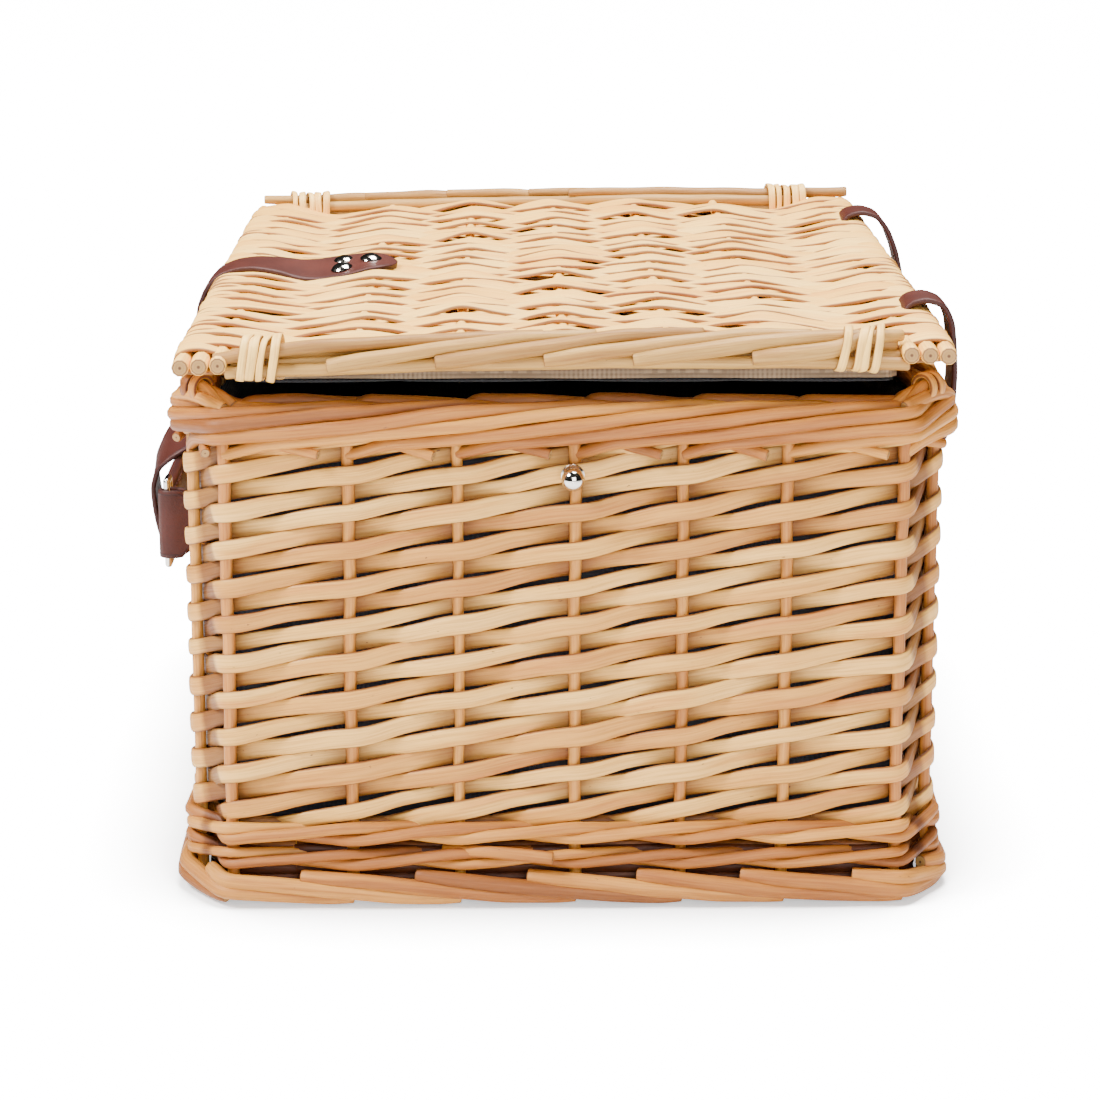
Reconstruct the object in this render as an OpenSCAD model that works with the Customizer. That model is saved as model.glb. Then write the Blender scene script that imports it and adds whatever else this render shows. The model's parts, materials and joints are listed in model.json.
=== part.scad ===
// Wicker picnic basket: a woven willow body with a fabric lining, a woven lid on two
// leather loop hinges, a hanging closure strap, a front carry handle and ball studs.
// X runs along the length, the front faces -Y, Z is up, and the origin is on the
// ground under the middle of the body.

/* [Body] */
// Outer length of the lid and the rim border
basket_l = 404; // [360:1:440]
// Outer depth of the lid; the rim border stands a little further out
basket_w = 286; // [260:1:310]
// Height of the top of the rim border
rim_top_z = 192; // [170:1:220]
// Thickness of the lid
lid_t = 13; // [12.8:0.1:16]
// Gap between the rim border and the lid, filled by the four corner knots
lid_gap = 10; // [6:0.5:12]

/* [Willow] */
// Diameter of the upright stakes
stake_d = 4.5; // [3.5:0.1:5]
// Uprights in each end wall
stakes_end = 7; // [5:2:9]
// Uprights in each long wall
stakes_long = 10; // [8:2:12]
// Thickness of the split strips of the side weave
strip_t = 2.6; // [2:0.1:3]
// Height of one strip of the side weave
strip_w = 7.5; // [7:0.1:9]
// Rows of the side weave on each face of the stakes
siding_rows = 10; // [8:1:11]
// Diameter of the sticks in the lid
lid_stick_d = 6.8; // [6:0.1:7]
// Width of one strip of the lid weave
lid_strip_w = 9.5; // [8:0.1:9.6]
// Number of strips in the lid weave
lid_strips = 38; // [30:1:38]

/* [Leather and metal] */
// Width of the closure strap
strap_w = 26; // [20:1:30]
// Width of the two hinge loops
hinge_w = 22; // [18:1:26]
// Thickness of the leather
leather_t = 2.4; // [2:0.1:2.6]
// Height of the carry handle's strap
handle_h = 28; // [22:1:30]
// Length of the handle between its ring bars
handle_l = 124; // [110:1:130]
// Diameter of the ball on each stud
ball_d = 8.5; // [7:0.5:9]

/* [Hidden] */
$fn = 48;
eps = 0.01;
// Rods that lie side by side keep this much off their radius
rod_gap = 0.03;
// Ground ring
foot_h = 13;
foot_wide = 20;
foot_corner_r = 16;
foot_x = basket_l / 2;
foot_y = basket_w / 2 + 1.5;
// Wale: two bands of rods, four rods high in all, on both faces of the stakes
wale_r = 2.5;
wale_rods = 4;
wale_h = 2 * wale_r * wale_rods;
// Walls
wall_x = basket_l / 2 - 5;
wall_y = basket_w / 2 - 1;
stake_r = stake_d / 2;
stake_x = wall_x - strip_t - stake_r;
stake_y = wall_y - strip_t - stake_r;
inner_x = stake_x - stake_r - strip_t;
inner_y = stake_y - stake_r - strip_t;
wale_out = stake_r + 2 * wale_r;
// Rim border: three rods wide and three rods high
rim_y = basket_w / 2 + 3;
rim_wide = 16;
rim_rods = 3;
rim_r = rim_wide / rim_rods / 2;
rim_z = rim_top_z - rim_wide;
rim_corner_cut = 24;
knot_r = 7.5;
knot_in_x = 18;
knot_in_y = 10;
rest_gap = 0.3;
// Side weave
siding_z = foot_h + wale_h;
siding_h = rim_z - siding_z;
row_pitch = (siding_h - strip_w) / (siding_rows - 0.5);
end_stake_span = 248 / 286 * basket_w;
long_stake_span = 346 / 404 * basket_l;
// Base
base_stick_r = 2.5;
base_sticks_n = 9;
base_strip_t = 1.5;
base_strip_w = 9;
base_strips_n = 36;
base_z = foot_h + 2 * base_stick_r;
// Lining
lining_t = 1.2;
lining_x = stake_x - wale_out - 0.4;
lining_y = stake_y - wale_out - 0.4;
lining_z = base_z + base_strip_t;
lining_top_z = rim_top_z - 4;
// Lid
lid_z = rim_top_z + lid_gap;
lid_mid_z = lid_z + lid_t / 2;
lid_x = basket_l / 2;
lid_y = basket_w / 2;
lid_strip_t = 1.6;
lid_stick_r = lid_stick_d / 2;
lid_weave_h = lid_stick_d + 2 * lid_strip_t;
lid_face_z = lid_mid_z + lid_weave_h / 2;
lid_under_z = lid_mid_z - lid_weave_h / 2;
end_rod_r = 3.2;
end_rods_in = lid_x - 4 * end_rod_r;
end_rods_y = lid_y - lid_strip_t - 3 * lid_stick_d - 0.2;
lid_stick_ys = [-76, -38, 0, 38, 76];
lid_strip_pitch = 2 * (end_rods_in - 1.2) / lid_strips;
lash_t = 1.2;
lash_w = 14;
lash_y = 109;
lid_panel_x = end_rods_in - 0.4;
lid_panel_y = lid_y - 22;
lid_panel_t = 3;
lid_band_t = lid_under_z - lid_z + 2;
// Hinges
hinge_x = 120;
// Closure strap
strap_hinge_y = -(lid_y - 1);
strap_hinge_z = lid_face_z + 4.5;
rivet_d = 8.8;
rivet_shank_r = 1.2;
rivet_places = [[-6, -90], [6, -90], [0, -77]];
// Studs
ball_r = ball_d / 2;
stud_neck_r = 1.9;
stud_shank_r = 1.5;
stud_bore_r = 1.6;
stud_flange_r = 4.3;
stud_flange_t = 1.2;
stud_neck_l = 3;
washer_t = 0.8;
stud_grip = wall_x - inner_x;
nut_t = inner_x - lining_x - washer_t - 0.1;
stud_inside = stud_grip + washer_t + nut_t;
end_stud_y = 3;
end_stud_z = siding_z + 9 * row_pitch + strip_w / 2;
front_stud_z = siding_z + 3 * row_pitch + strip_w / 2;
// Handle
handle_z = 117.5;
handle_y = -(wall_y + 16.5);
handle_t = 5;
ring_r = 1.5;
ring_h = 34;
ring_w = 8;
eye_r = 3.6;
eye_bore_r = ring_r + 0.06;
tab_x = handle_l / 2 + ring_w;
tab_t = 4;
tab_h = 30;
tab_near_h = 10;
tab_gap = 3.5;
tongue_h = 10;
tongue_out = 2;
tongue_slot = 0.4;

WILLOW = "burlywood";
BORDER = "peru";
LEATHER = "saddlebrown";
NAVY = "midnightblue";
METAL = "silver";

// A point on the quadratic curve a, b, c
function bend(a, b, c, t) = (1 - t) * (1 - t) * a + 2 * t * (1 - t) * b + t * t * c;
function bend_points(a, b, c, steps) = [for (i = [0:steps]) bend(a, b, c, i / steps)];
// The unit normal of a path of points at point i
function path_dir(p, i) = p[min(i + 1, len(p) - 1)] - p[max(i - 1, 0)];
function path_normal(p, i) = [-path_dir(p, i)[1], path_dir(p, i)[0]] / norm(path_dir(p, i));
function path_side(p, d) = [for (i = [0:len(p) - 1]) p[i] + d * path_normal(p, i)];
// The outline of a rectangle with round corners, centred on the origin
function rounded_outline(x, y, r, steps) = [
    for (q = [0:3], i = [0:steps])
        let (a = 90 * q + 90 * i / steps, sx = q == 0 || q == 3 ? 1 : -1, sy = q < 2 ? 1 : -1)
        [sx * (x - r) + r * cos(a), sy * (y - r) + r * sin(a)]
];
function reversed(p) = [for (i = [len(p) - 1:-1:0]) p[i]];

// A strap of leather that follows a path in the Y-Z plane, centred on x
module strap(path, x, width, thick = leather_t) {
    translate([x - width / 2, 0, 0])
        rotate([90, 0, 90])
            linear_extrude(width)
                polygon(concat(path_side(path, thick / 2), reversed(path_side(path, -thick / 2))));
}

// A straight rod from a to b along X or Y
module rod_x(x0, x1, y, z, r) {
    translate([x0, y, z]) rotate([0, 90, 0]) cylinder(h = x1 - x0, r = r - rod_gap);
}
module rod_y(y0, y1, x, z, r) {
    translate([x, y0, z]) rotate([-90, 0, 0]) cylinder(h = y1 - y0, r = r - rod_gap);
}
module block(lo, hi) {
    translate(lo) cube(hi - lo);
}

// Foot and base
module foot_border() {
    color(BORDER)
        difference() {
            linear_extrude(foot_h) polygon(rounded_outline(foot_x, foot_y, foot_corner_r, 8));
            block([-foot_x + foot_wide, -foot_y + foot_wide, -1],
                  [foot_x - foot_wide, foot_y - foot_wide, foot_h + 1]);
        }
}
module base_sticks() {
    span = 2 * (lining_y - 8);
    color(WILLOW)
        for (i = [0:base_sticks_n - 1])
            rod_x(-lining_x, lining_x, -span / 2 + i * span / (base_sticks_n - 1),
                  foot_h + base_stick_r, base_stick_r);
}
module base_weave() {
    hole_x = foot_x - foot_wide - 0.5;
    hole_y = foot_y - foot_wide - 0.5;
    pitch = 2 * (hole_x - 1) / base_strips_n;
    color(WILLOW)
        for (i = [0:base_strips_n - 1]) {
            x = -hole_x + 1 + (i + 0.5) * pitch;
            over = i % 2 == 0;
            y = over ? lining_y : hole_y;
            z = over ? base_z : foot_h - base_strip_t;
            block([x - base_strip_w / 2, -y, z], [x + base_strip_w / 2, y, z + base_strip_t]);
        }
}

// Wale bands round the bottom of the stakes
module wale_side_x(side) {
    color(WILLOW)
        for (k = [0:wale_rods - 1], face = [-1, 1])
            rod_x(-stake_x - wale_out, stake_x + wale_out,
                  side * (stake_y + face * (stake_r + wale_r)),
                  foot_h + wale_r * (2 * k + 1), wale_r);
}
module wale_side_y(side) {
    reach = stake_y - wale_out;
    color(WILLOW)
        for (k = [0:wale_rods - 1], face = [-1, 1])
            rod_y(-reach, reach, side * (stake_x + face * (stake_r + wale_r)),
                  foot_h + wale_r * (2 * k + 1), wale_r);
}
module wale_front() { wale_side_x(-1); }
module wale_back() { wale_side_x(1); }
module wale_left() { wale_side_y(-1); }
module wale_right() { wale_side_y(1); }

// Upright stakes
module stake(x, y) {
    translate([x, y, foot_h]) cylinder(h = rim_z - foot_h, r = stake_r);
}
module stakes_long_wall(side) {
    color(WILLOW)
        for (i = [0:stakes_long - 1])
            stake(-long_stake_span / 2 + i * long_stake_span / (stakes_long - 1), side * stake_y);
}
module stakes_end_wall(side) {
    color(WILLOW)
        difference() {
            for (i = [0:stakes_end - 1])
                stake(side * stake_x, -end_stake_span / 2 + i * end_stake_span / (stakes_end - 1));
            end_stud_bore(side);
        }
}
module stakes_front() { stakes_long_wall(-1); }
module stakes_back() { stakes_long_wall(1); }
module stakes_left() { stakes_end_wall(-1); }
module stakes_right() { stakes_end_wall(1); }

// Side weave: rows of flat strips, outside the stakes and half a row higher inside them
function row_z(i, inside) = siding_z + i * row_pitch + (inside ? row_pitch / 2 : 0);
module siding_long(side) {
    for (i = [0:siding_rows - 1], inside = [false, true]) {
        y = side * (stake_y + (inside ? -1 : 1) * (stake_r + strip_t / 2));
        translate([-wall_x, y - strip_t / 2, row_z(i, inside)])
            cube([2 * wall_x, strip_t, strip_w]);
    }
}
module siding_end(side) {
    color(WILLOW)
        difference() {
            for (i = [0:siding_rows - 1], inside = [false, true]) {
                x = side * (stake_x + (inside ? -1 : 1) * (stake_r + strip_t / 2));
                translate([x - strip_t / 2, -inner_y, row_z(i, inside)])
                    cube([strip_t, 2 * inner_y, strip_w]);
            }
            end_stud_bore(side);
        }
}
module siding_front() {
    color(WILLOW)
        difference() {
            siding_long(-1);
            translate([0, -wall_y - 1, front_stud_z]) rotate([-90, 0, 0])
                cylinder(h = stud_grip + 2, r = stud_bore_r);
            for (s = [-1, 1]) handle_slot(s);
        }
}
module siding_back() { color(WILLOW) siding_long(1); }
module siding_left() { siding_end(-1); }
module siding_right() { siding_end(1); }

// Rim border: the outer rods stop short, so that the corners are cut off slantwise
module rim_long(side) {
    color(BORDER)
        for (col = [0:rim_rods - 1], row = [0:rim_rods - 1]) {
            reach = basket_l / 2 - rim_corner_cut * (rim_rods - 1 - col) / (rim_rods - 1);
            rod_x(-reach, reach, side * (rim_y - rim_r * (2 * col + 1)),
                  rim_z + rim_r * (2 * row + 1), rim_r);
        }
}
module rim_end(side) {
    reach = rim_y - rim_wide;
    color(BORDER)
        for (col = [0:rim_rods - 1], row = [0:rim_rods - 1])
            rod_y(-reach, reach, side * (basket_l / 2 - rim_r * (2 * col + 1)),
                  rim_z + rim_r * (2 * row + 1), rim_r);
}
module rim_front() { rim_long(-1); }
module rim_back() { rim_long(1); }
module rim_left() { rim_end(-1); }
module rim_right() { rim_end(1); }
module rim_knot(sx, sy) {
    color(BORDER)
        translate([sx * (basket_l / 2 - knot_in_x), sy * (basket_w / 2 - knot_in_y), rim_top_z])
            cylinder(h = lid_under_z - rest_gap - rim_top_z, r = knot_r);
}
module rim_knot_front_left() { rim_knot(-1, -1); }
module rim_knot_front_right() { rim_knot(1, -1); }
module rim_knot_back_left() { rim_knot(-1, 1); }
module rim_knot_back_right() { rim_knot(1, 1); }

// Fabric lining
module lining_long(side) {
    y = side * (lining_y - lining_t / 2);
    color(NAVY)
        translate([-lining_x, y - lining_t / 2, lining_z])
            cube([2 * lining_x, lining_t, lining_top_z - lining_z]);
}
module lining_end(side) {
    x = side * (lining_x - lining_t / 2);
    reach = lining_y - lining_t;
    color(NAVY)
        translate([x - lining_t / 2, -reach, lining_z])
            cube([lining_t, 2 * reach, lining_top_z - lining_z]);
}
module lining_front() { lining_long(-1); }
module lining_back() { lining_long(1); }
module lining_left() { lining_end(-1); }
module lining_right() { lining_end(1); }
module lining_floor() {
    x = lining_x - lining_t;
    y = lining_y - lining_t;
    color(NAVY) block([-x, -y, lining_z], [x, y, lining_z + lining_t]);
}

// Leather hinge loops: one half on the lid, the other on the back wall
hinge_lid_path = concat(
    bend_points([lid_y - 26, lid_face_z + 1.4], [lid_y - 18, lid_face_z + 6],
                [lid_y - 8, lid_face_z + 5.5], 6),
    bend_points([lid_y - 5, lid_face_z + 5.2], [lid_y + 5.5, lid_face_z + 3.5],
                [lid_y + 7, lid_z + 7.5], 6));
hinge_wall_path = concat(
    [[rim_y + 1.6, rim_top_z], [rim_y + 1.6, rim_z + 1]],
    bend_points([rim_y + 1.4, rim_z - 1], [rim_y + 1, rim_z - 4],
                [wall_y + 1.6, rim_z - 8], 4));
module hinge_lid_end(side) { color(LEATHER) strap(hinge_lid_path, side * hinge_x, hinge_w); }
module hinge_wall_end(side) { color(LEATHER) strap(hinge_wall_path, side * hinge_x, hinge_w); }
module hinge_lid_end_left() { hinge_lid_end(-1); }
module hinge_lid_end_right() { hinge_lid_end(1); }
module hinge_wall_end_left() { hinge_wall_end(-1); }
module hinge_wall_end_right() { hinge_wall_end(1); }

// Ball studs: ball, neck and flange outside the wall, threaded shank through it.
// The stud's own +Z points out of the wall and z = 0 is the wall's face.
module stud() {
    color(METAL) {
        cylinder(h = stud_flange_t, r = stud_flange_r);
        translate([0, 0, stud_flange_t - eps]) cylinder(h = stud_neck_l + 1, r = stud_neck_r);
        translate([0, 0, stud_flange_t + stud_neck_l + ball_r - 0.5]) sphere(r = ball_r);
        translate([0, 0, -stud_inside])
            cylinder(h = stud_inside + eps, r = stud_shank_r);
    }
}
module on_end_wall(side) {
    translate([side * wall_x, end_stud_y, end_stud_z]) rotate([0, side * 90, 0]) children();
}
module on_front_wall() {
    translate([0, -wall_y, front_stud_z]) rotate([90, 0, 0]) children();
}
module end_stud_bore(side) {
    on_end_wall(side) translate([0, 0, -stud_grip - 1]) cylinder(h = stud_grip + 2, r = stud_bore_r);
}
module end_stud_left() { on_end_wall(-1) stud(); }
module end_stud_right() { on_end_wall(1) stud(); }
module front_stud() { on_front_wall() stud(); }
module washer() {
    translate([0, 0, -stud_grip - washer_t])
        difference() {
            cylinder(h = washer_t, r = 5);
            translate([0, 0, -1]) cylinder(h = washer_t + 2, r = stud_bore_r);
        }
}
module nut() {
    translate([0, 0, -stud_inside])
        difference() {
            cylinder(h = nut_t, r = 3.2, $fn = 6);
            translate([0, 0, -1]) cylinder(h = nut_t + 2, r = stud_bore_r);
        }
}
module stud_washers() {
    color(METAL) {
        on_end_wall(-1) washer();
        on_end_wall(1) washer();
        on_front_wall() washer();
    }
}
module stud_nuts() {
    color(METAL) {
        on_end_wall(-1) nut();
        on_end_wall(1) nut();
        on_front_wall() nut();
    }
}

// Handle anchors: leather tongues through the weave with a wide end inside
module handle_slot(side) {
    translate([side * tab_x, -(wall_y + inner_y) / 2, handle_z])
        cube([tab_t + tongue_slot, wall_y - inner_y + 2, tongue_h + tongue_slot], center = true);
}
module handle_anchor(side) {
    inside = 2.4;
    color(LEATHER) {
        block([side * tab_x - tab_t / 2, -wall_y - tongue_out, handle_z - tongue_h / 2],
              [side * tab_x + tab_t / 2, -inner_y + eps, handle_z + tongue_h / 2]);
        block([side * tab_x - 8, -inner_y, handle_z - tongue_h],
              [side * tab_x + 8, -inner_y + inside, handle_z + tongue_h]);
    }
}
module handle_anchor_left() { handle_anchor(-1); }
module handle_anchor_right() { handle_anchor(1); }

// Lid
module lid_sticks() {
    color(WILLOW) {
        for (side = [-1, 1], k = [0:2])
            rod_x(-lid_x, lid_x, side * (lid_y - lid_strip_t - lid_stick_r * (2 * k + 1)),
                  lid_mid_z, lid_stick_r);
        for (y = lid_stick_ys)
            rod_x(-end_rods_in, end_rods_in, y, lid_mid_z, lid_stick_r);
    }
}
module lid_weave() {
    color(WILLOW)
        for (i = [0:lid_strips - 1]) {
            x = -end_rods_in + 1.2 + (i + 0.5) * lid_strip_pitch;
            difference() {
                block([x - lid_strip_w / 2, -lid_y, lid_under_z], [x + lid_strip_w / 2, lid_y, lid_face_z]);
                block([x - lid_strip_w, -lid_y + lid_strip_t, lid_under_z + lid_strip_t],
                      [x + lid_strip_w, lid_y - lid_strip_t, lid_face_z - lid_strip_t]);
            }
        }
}
module lid_end(side) {
    color(BORDER)
        for (col = [0, 1], row = [-1, 1])
            rod_y(-end_rods_y, end_rods_y, side * (lid_x - end_rod_r * (2 * col + 1)),
                  lid_mid_z + row * end_rod_r, end_rod_r);
}
module lid_end_left() { lid_end(-1); }
module lid_end_right() { lid_end(1); }
module lid_lashings() {
    lo_z = lid_mid_z - 2 * end_rod_r;
    hi_z = lid_mid_z + 2 * end_rod_r;
    color("wheat")
        for (sx = [-1, 1], sy = [-1, 1]) {
            x0 = sx > 0 ? end_rods_in : -lid_x;
            x1 = sx > 0 ? lid_x : -end_rods_in;
            y = sy * lash_y;
            difference() {
                block([x0 - (sx > 0 ? 0 : lash_t), y - lash_w / 2, lo_z - lash_t],
                      [x1 + (sx > 0 ? lash_t : 0), y + lash_w / 2, hi_z + lash_t]);
                block([x0 - (sx > 0 ? 1 : 0), y - lash_w, lo_z],
                      [x1 + (sx > 0 ? 0 : 1), y + lash_w, hi_z]);
            }
        }
}
module lid_lining_band() {
    color("tan")
        block([-lid_panel_x, -lid_panel_y, lid_under_z - lid_band_t],
              [lid_panel_x, lid_panel_y, lid_under_z]);
}
module lid_lining() {
    top = lid_under_z - lid_band_t;
    color(NAVY)
        block([-lid_panel_x, -lid_panel_y, top - lid_panel_t], [lid_panel_x, lid_panel_y, top]);
}

// Closure strap: a riveted part on the lid and the part that hangs down the front
base_path = concat(
    [[-66, lid_face_z + leather_t / 2], [-80, lid_face_z + leather_t / 2],
     [-108, lid_face_z + leather_t / 2 + 0.1]],
    bend_points([-114, lid_face_z + 1.6], [-124, lid_face_z + 4], [strap_hinge_y + 4.4, strap_hinge_z], 4));
hang_path = concat(
    bend_points([strap_hinge_y - 2.6, strap_hinge_z - 0.4], [strap_hinge_y - 6.5, strap_hinge_z - 1.5],
                [strap_hinge_y - 7.5, strap_hinge_z - 10], 5),
    bend_points([strap_hinge_y - 7.5, strap_hinge_z - 44], [strap_hinge_y - 7.5, strap_hinge_z - 66],
                [strap_hinge_y - 21.5, strap_hinge_z - 82], 5),
    bend_points([strap_hinge_y - 25, strap_hinge_z - 86], [strap_hinge_y - 36, strap_hinge_z - 96],
                [strap_hinge_y - 32, strap_hinge_z - 110], 5),
    [[strap_hinge_y - 27, strap_hinge_z - 131]]);
module closure_strap_base() {
    color(LEATHER)
        difference() {
            strap(base_path, 0, strap_w);
            for (p = rivet_places)
                translate([p[0], p[1], lid_face_z - 1])
                    cylinder(h = leather_t + 4, r = rivet_shank_r + 0.05);
        }
}
module strap_rivets() {
    dome_h = 2;
    dome_r = (rivet_d * rivet_d / 4 + dome_h * dome_h) / (2 * dome_h);
    color(METAL)
        for (p = rivet_places) translate([p[0], p[1], lid_face_z]) {
            cylinder(h = leather_t + 0.2, r = rivet_shank_r);
            intersection() {
                translate([0, 0, leather_t + 0.12 + dome_h - dome_r]) sphere(r = dome_r);
                translate([0, 0, leather_t + 0.12]) cylinder(h = dome_h, r = rivet_d / 2);
            }
        }
}
module closure_strap() {
    color(LEATHER) strap(hang_path, 0, strap_w);
}

// Carry handle: a padded strap between two wire rings, each ring on a leather tab
module handle_strap() {
    color(LEATHER)
        translate([0, handle_y, handle_z - handle_h / 2])
            linear_extrude(handle_h)
                difference() {
                    union() {
                        translate([-handle_l / 2, -handle_t / 2]) square([handle_l, handle_t]);
                        for (s = [-1, 1]) translate([s * handle_l / 2, 0]) circle(r = eye_r);
                    }
                    for (s = [-1, 1]) translate([s * handle_l / 2, 0]) circle(r = eye_bore_r);
                }
}
module handle_ring(side) {
    x0 = side * handle_l / 2;
    x1 = side * tab_x;
    z0 = handle_z - ring_h / 2;
    color(METAL) {
        for (x = [x0, x1]) translate([x, handle_y, z0]) cylinder(h = ring_h, r = ring_r);
        for (z = [z0, z0 + ring_h])
            translate([min(x0, x1), handle_y, z]) rotate([0, 90, 0]) cylinder(h = ring_w, r = ring_r);
        for (x = [x0, x1], z = [z0, z0 + ring_h]) translate([x, handle_y, z]) sphere(r = ring_r);
    }
}
module handle_ring_left() { handle_ring(-1); }
module handle_ring_right() { handle_ring(1); }
module handle_tab(side) {
    near_y = -wall_y - tongue_out - tab_gap;
    far_y = handle_y + eye_r - 0.6;
    color(LEATHER)
        difference() {
            translate([side * tab_x, 0, handle_z - tab_h / 2])
                linear_extrude(tab_h)
                    difference() {
                        union() {
                            translate([-tab_t / 2, far_y]) square([tab_t, near_y - far_y]);
                            translate([0, handle_y]) circle(r = eye_r);
                        }
                        translate([0, handle_y]) circle(r = eye_bore_r);
                    }
            for (s = [-1, 1]) tab_corner_cut(side * tab_x, near_y, s);
        }
}
// The tab narrows where it meets the wall, so that it can tilt
module tab_corner_cut(x, y, s) {
    run = 7;
    rise = (tab_h - tab_near_h) / 2;
    translate([x - tab_t, 0, 0])
        rotate([90, 0, 90])
            linear_extrude(2 * tab_t)
                polygon([[y + 1, handle_z + s * tab_near_h / 2], [y, handle_z + s * tab_near_h / 2],
                         [y - run, handle_z + s * (tab_near_h / 2 + rise)],
                         [y - run, handle_z + s * (tab_h / 2 + 1)],
                         [y + 1, handle_z + s * (tab_h / 2 + 1)]]);
}
module handle_tab_left() { handle_tab(-1); }
module handle_tab_right() { handle_tab(1); }

foot_border();
base_sticks();
base_weave();
wale_front();
wale_back();
wale_left();
wale_right();
stakes_front();
stakes_back();
stakes_left();
stakes_right();
siding_front();
siding_back();
siding_left();
siding_right();
rim_front();
rim_back();
rim_left();
rim_right();
rim_knot_front_left();
rim_knot_front_right();
rim_knot_back_left();
rim_knot_back_right();
lining_front();
lining_back();
lining_left();
lining_right();
lining_floor();
hinge_wall_end_left();
hinge_wall_end_right();
end_stud_left();
end_stud_right();
front_stud();
stud_washers();
stud_nuts();
handle_anchor_left();
handle_anchor_right();
lid_sticks();
lid_weave();
lid_end_left();
lid_end_right();
lid_lashings();
lid_lining();
lid_lining_band();
hinge_lid_end_left();
hinge_lid_end_right();
closure_strap_base();
strap_rivets();
closure_strap();
handle_strap();
handle_ring_left();
handle_ring_right();
handle_tab_left();
handle_tab_right();
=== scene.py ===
"""Looks of the wicker picnic basket: willow, leather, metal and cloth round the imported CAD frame.

Shapes here are in millimetres, in the row frame, and become metres when a mesh is made.
Every willow strand is swept along its own path, with its own width, tone and grain.
"""

import json
import math

import bmesh
import bpy
import numpy as np
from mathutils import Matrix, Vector

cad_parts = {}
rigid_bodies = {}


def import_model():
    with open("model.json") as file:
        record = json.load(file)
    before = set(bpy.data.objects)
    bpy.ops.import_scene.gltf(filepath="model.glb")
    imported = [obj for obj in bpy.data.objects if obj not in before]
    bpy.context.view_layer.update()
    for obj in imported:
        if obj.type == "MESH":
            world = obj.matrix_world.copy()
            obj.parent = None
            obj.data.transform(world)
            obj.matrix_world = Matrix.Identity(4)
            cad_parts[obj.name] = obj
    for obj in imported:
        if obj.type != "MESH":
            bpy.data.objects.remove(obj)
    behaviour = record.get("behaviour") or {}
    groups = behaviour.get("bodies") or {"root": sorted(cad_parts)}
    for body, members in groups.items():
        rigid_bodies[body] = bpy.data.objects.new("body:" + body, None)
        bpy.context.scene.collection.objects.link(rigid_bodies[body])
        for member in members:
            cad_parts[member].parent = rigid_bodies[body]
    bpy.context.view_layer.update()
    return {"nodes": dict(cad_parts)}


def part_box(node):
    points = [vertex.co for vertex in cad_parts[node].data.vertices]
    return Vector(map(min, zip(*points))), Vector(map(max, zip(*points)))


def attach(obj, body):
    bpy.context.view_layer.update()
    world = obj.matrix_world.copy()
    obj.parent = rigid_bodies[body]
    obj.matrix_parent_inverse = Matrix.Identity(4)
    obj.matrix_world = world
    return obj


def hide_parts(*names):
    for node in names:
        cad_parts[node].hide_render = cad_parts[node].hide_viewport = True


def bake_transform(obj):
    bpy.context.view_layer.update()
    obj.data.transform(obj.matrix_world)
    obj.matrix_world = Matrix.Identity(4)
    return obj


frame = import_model()

MM = 0.001


def box(node):
    """A CAD node's lowest and highest corner, in millimetres."""
    low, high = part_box(node)
    return np.array(low) / MM, np.array(high) / MM


# ---------------------------------------------------------------------------
# Sizes read from the frame
# ---------------------------------------------------------------------------

end_stakes, long_stakes = box("stakes_right"), box("stakes_front")
STAKE_R = (end_stakes[1][0] - end_stakes[0][0]) / 2
STAKE_X = end_stakes[0][0] + STAKE_R
STAKE_Y = -(long_stakes[0][1] + STAKE_R)
END_SPAN = end_stakes[1][1] - STAKE_R
LONG_SPAN = long_stakes[1][0] - STAKE_R
STAKES_END, STAKES_LONG = 7, 10

FOOT_TOP = box("foot_border")[1][2]
WALE_TOP = box("wale_right")[1][2]
RIM_LOW, RIM_TOP = box("rim_front")[0][2], box("rim_front")[1][2]
LID_LOW, LID_HIGH = box("lid_weave")
STICK_R = (box("lid_sticks")[1][2] - box("lid_sticks")[0][2]) / 2
LID_MID = (LID_LOW[2] + LID_HIGH[2]) / 2
LID_X, LID_Y = box("lid_sticks")[1][0], LID_HIGH[1]
LID_FACE = LID_HIGH[2]
LID_END_IN = box("lid_end_right")[0][0]

# ---------------------------------------------------------------------------
# Mesh building
# ---------------------------------------------------------------------------

ROD = [(math.cos(a) / 2, math.sin(a) / 2) for a in np.linspace(0, 2 * math.pi, 10, endpoint=False)]
# A split strip: a slightly crowned outer face with soft edges, and a flat inner face
STRIP = [
    (0.5, -0.18), (0.49, 0.16), (0.4, 0.4), (0.2, 0.49), (0.0, 0.5), (-0.2, 0.49),
    (-0.4, 0.4), (-0.49, 0.16), (-0.5, -0.18), (-0.4, -0.46), (0.4, -0.46),
]
# A thin skein for the lid: flat, with square edges
SKEIN = [
    (0.5, -0.3), (0.5, 0.2), (0.475, 0.42), (0.42, 0.48), (0.2, 0.5), (-0.2, 0.5), (-0.42, 0.48),
    (-0.475, 0.42), (-0.5, 0.2), (-0.5, -0.3), (-0.45, -0.5), (0.45, -0.5),
]
SHARP = math.radians(50)
TURN = 6.283  # a full turn, rounded
ROD_FLANK_SHADE = 0.9  # how dark a rod's flanks are painted as shade, beside 1 at a strip's long edges


def unit(v):
    return v / np.maximum(np.linalg.norm(v, axis=-1, keepdims=True), 1e-9)


def run_length(points):
    """How far along its path each point lies."""
    return np.concatenate([[0], np.cumsum(np.linalg.norm(np.diff(points, axis=0), axis=1))])


def resample(rows, step):
    """Rows, whose first three columns are a path's points, spaced evenly along it."""
    length = run_length(rows[:, :3])
    at = np.linspace(0, length[-1], max(4, int(round(length[-1] / step)) + 1))
    return np.stack([np.interp(at, length, column) for column in rows.T], 1)


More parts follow.
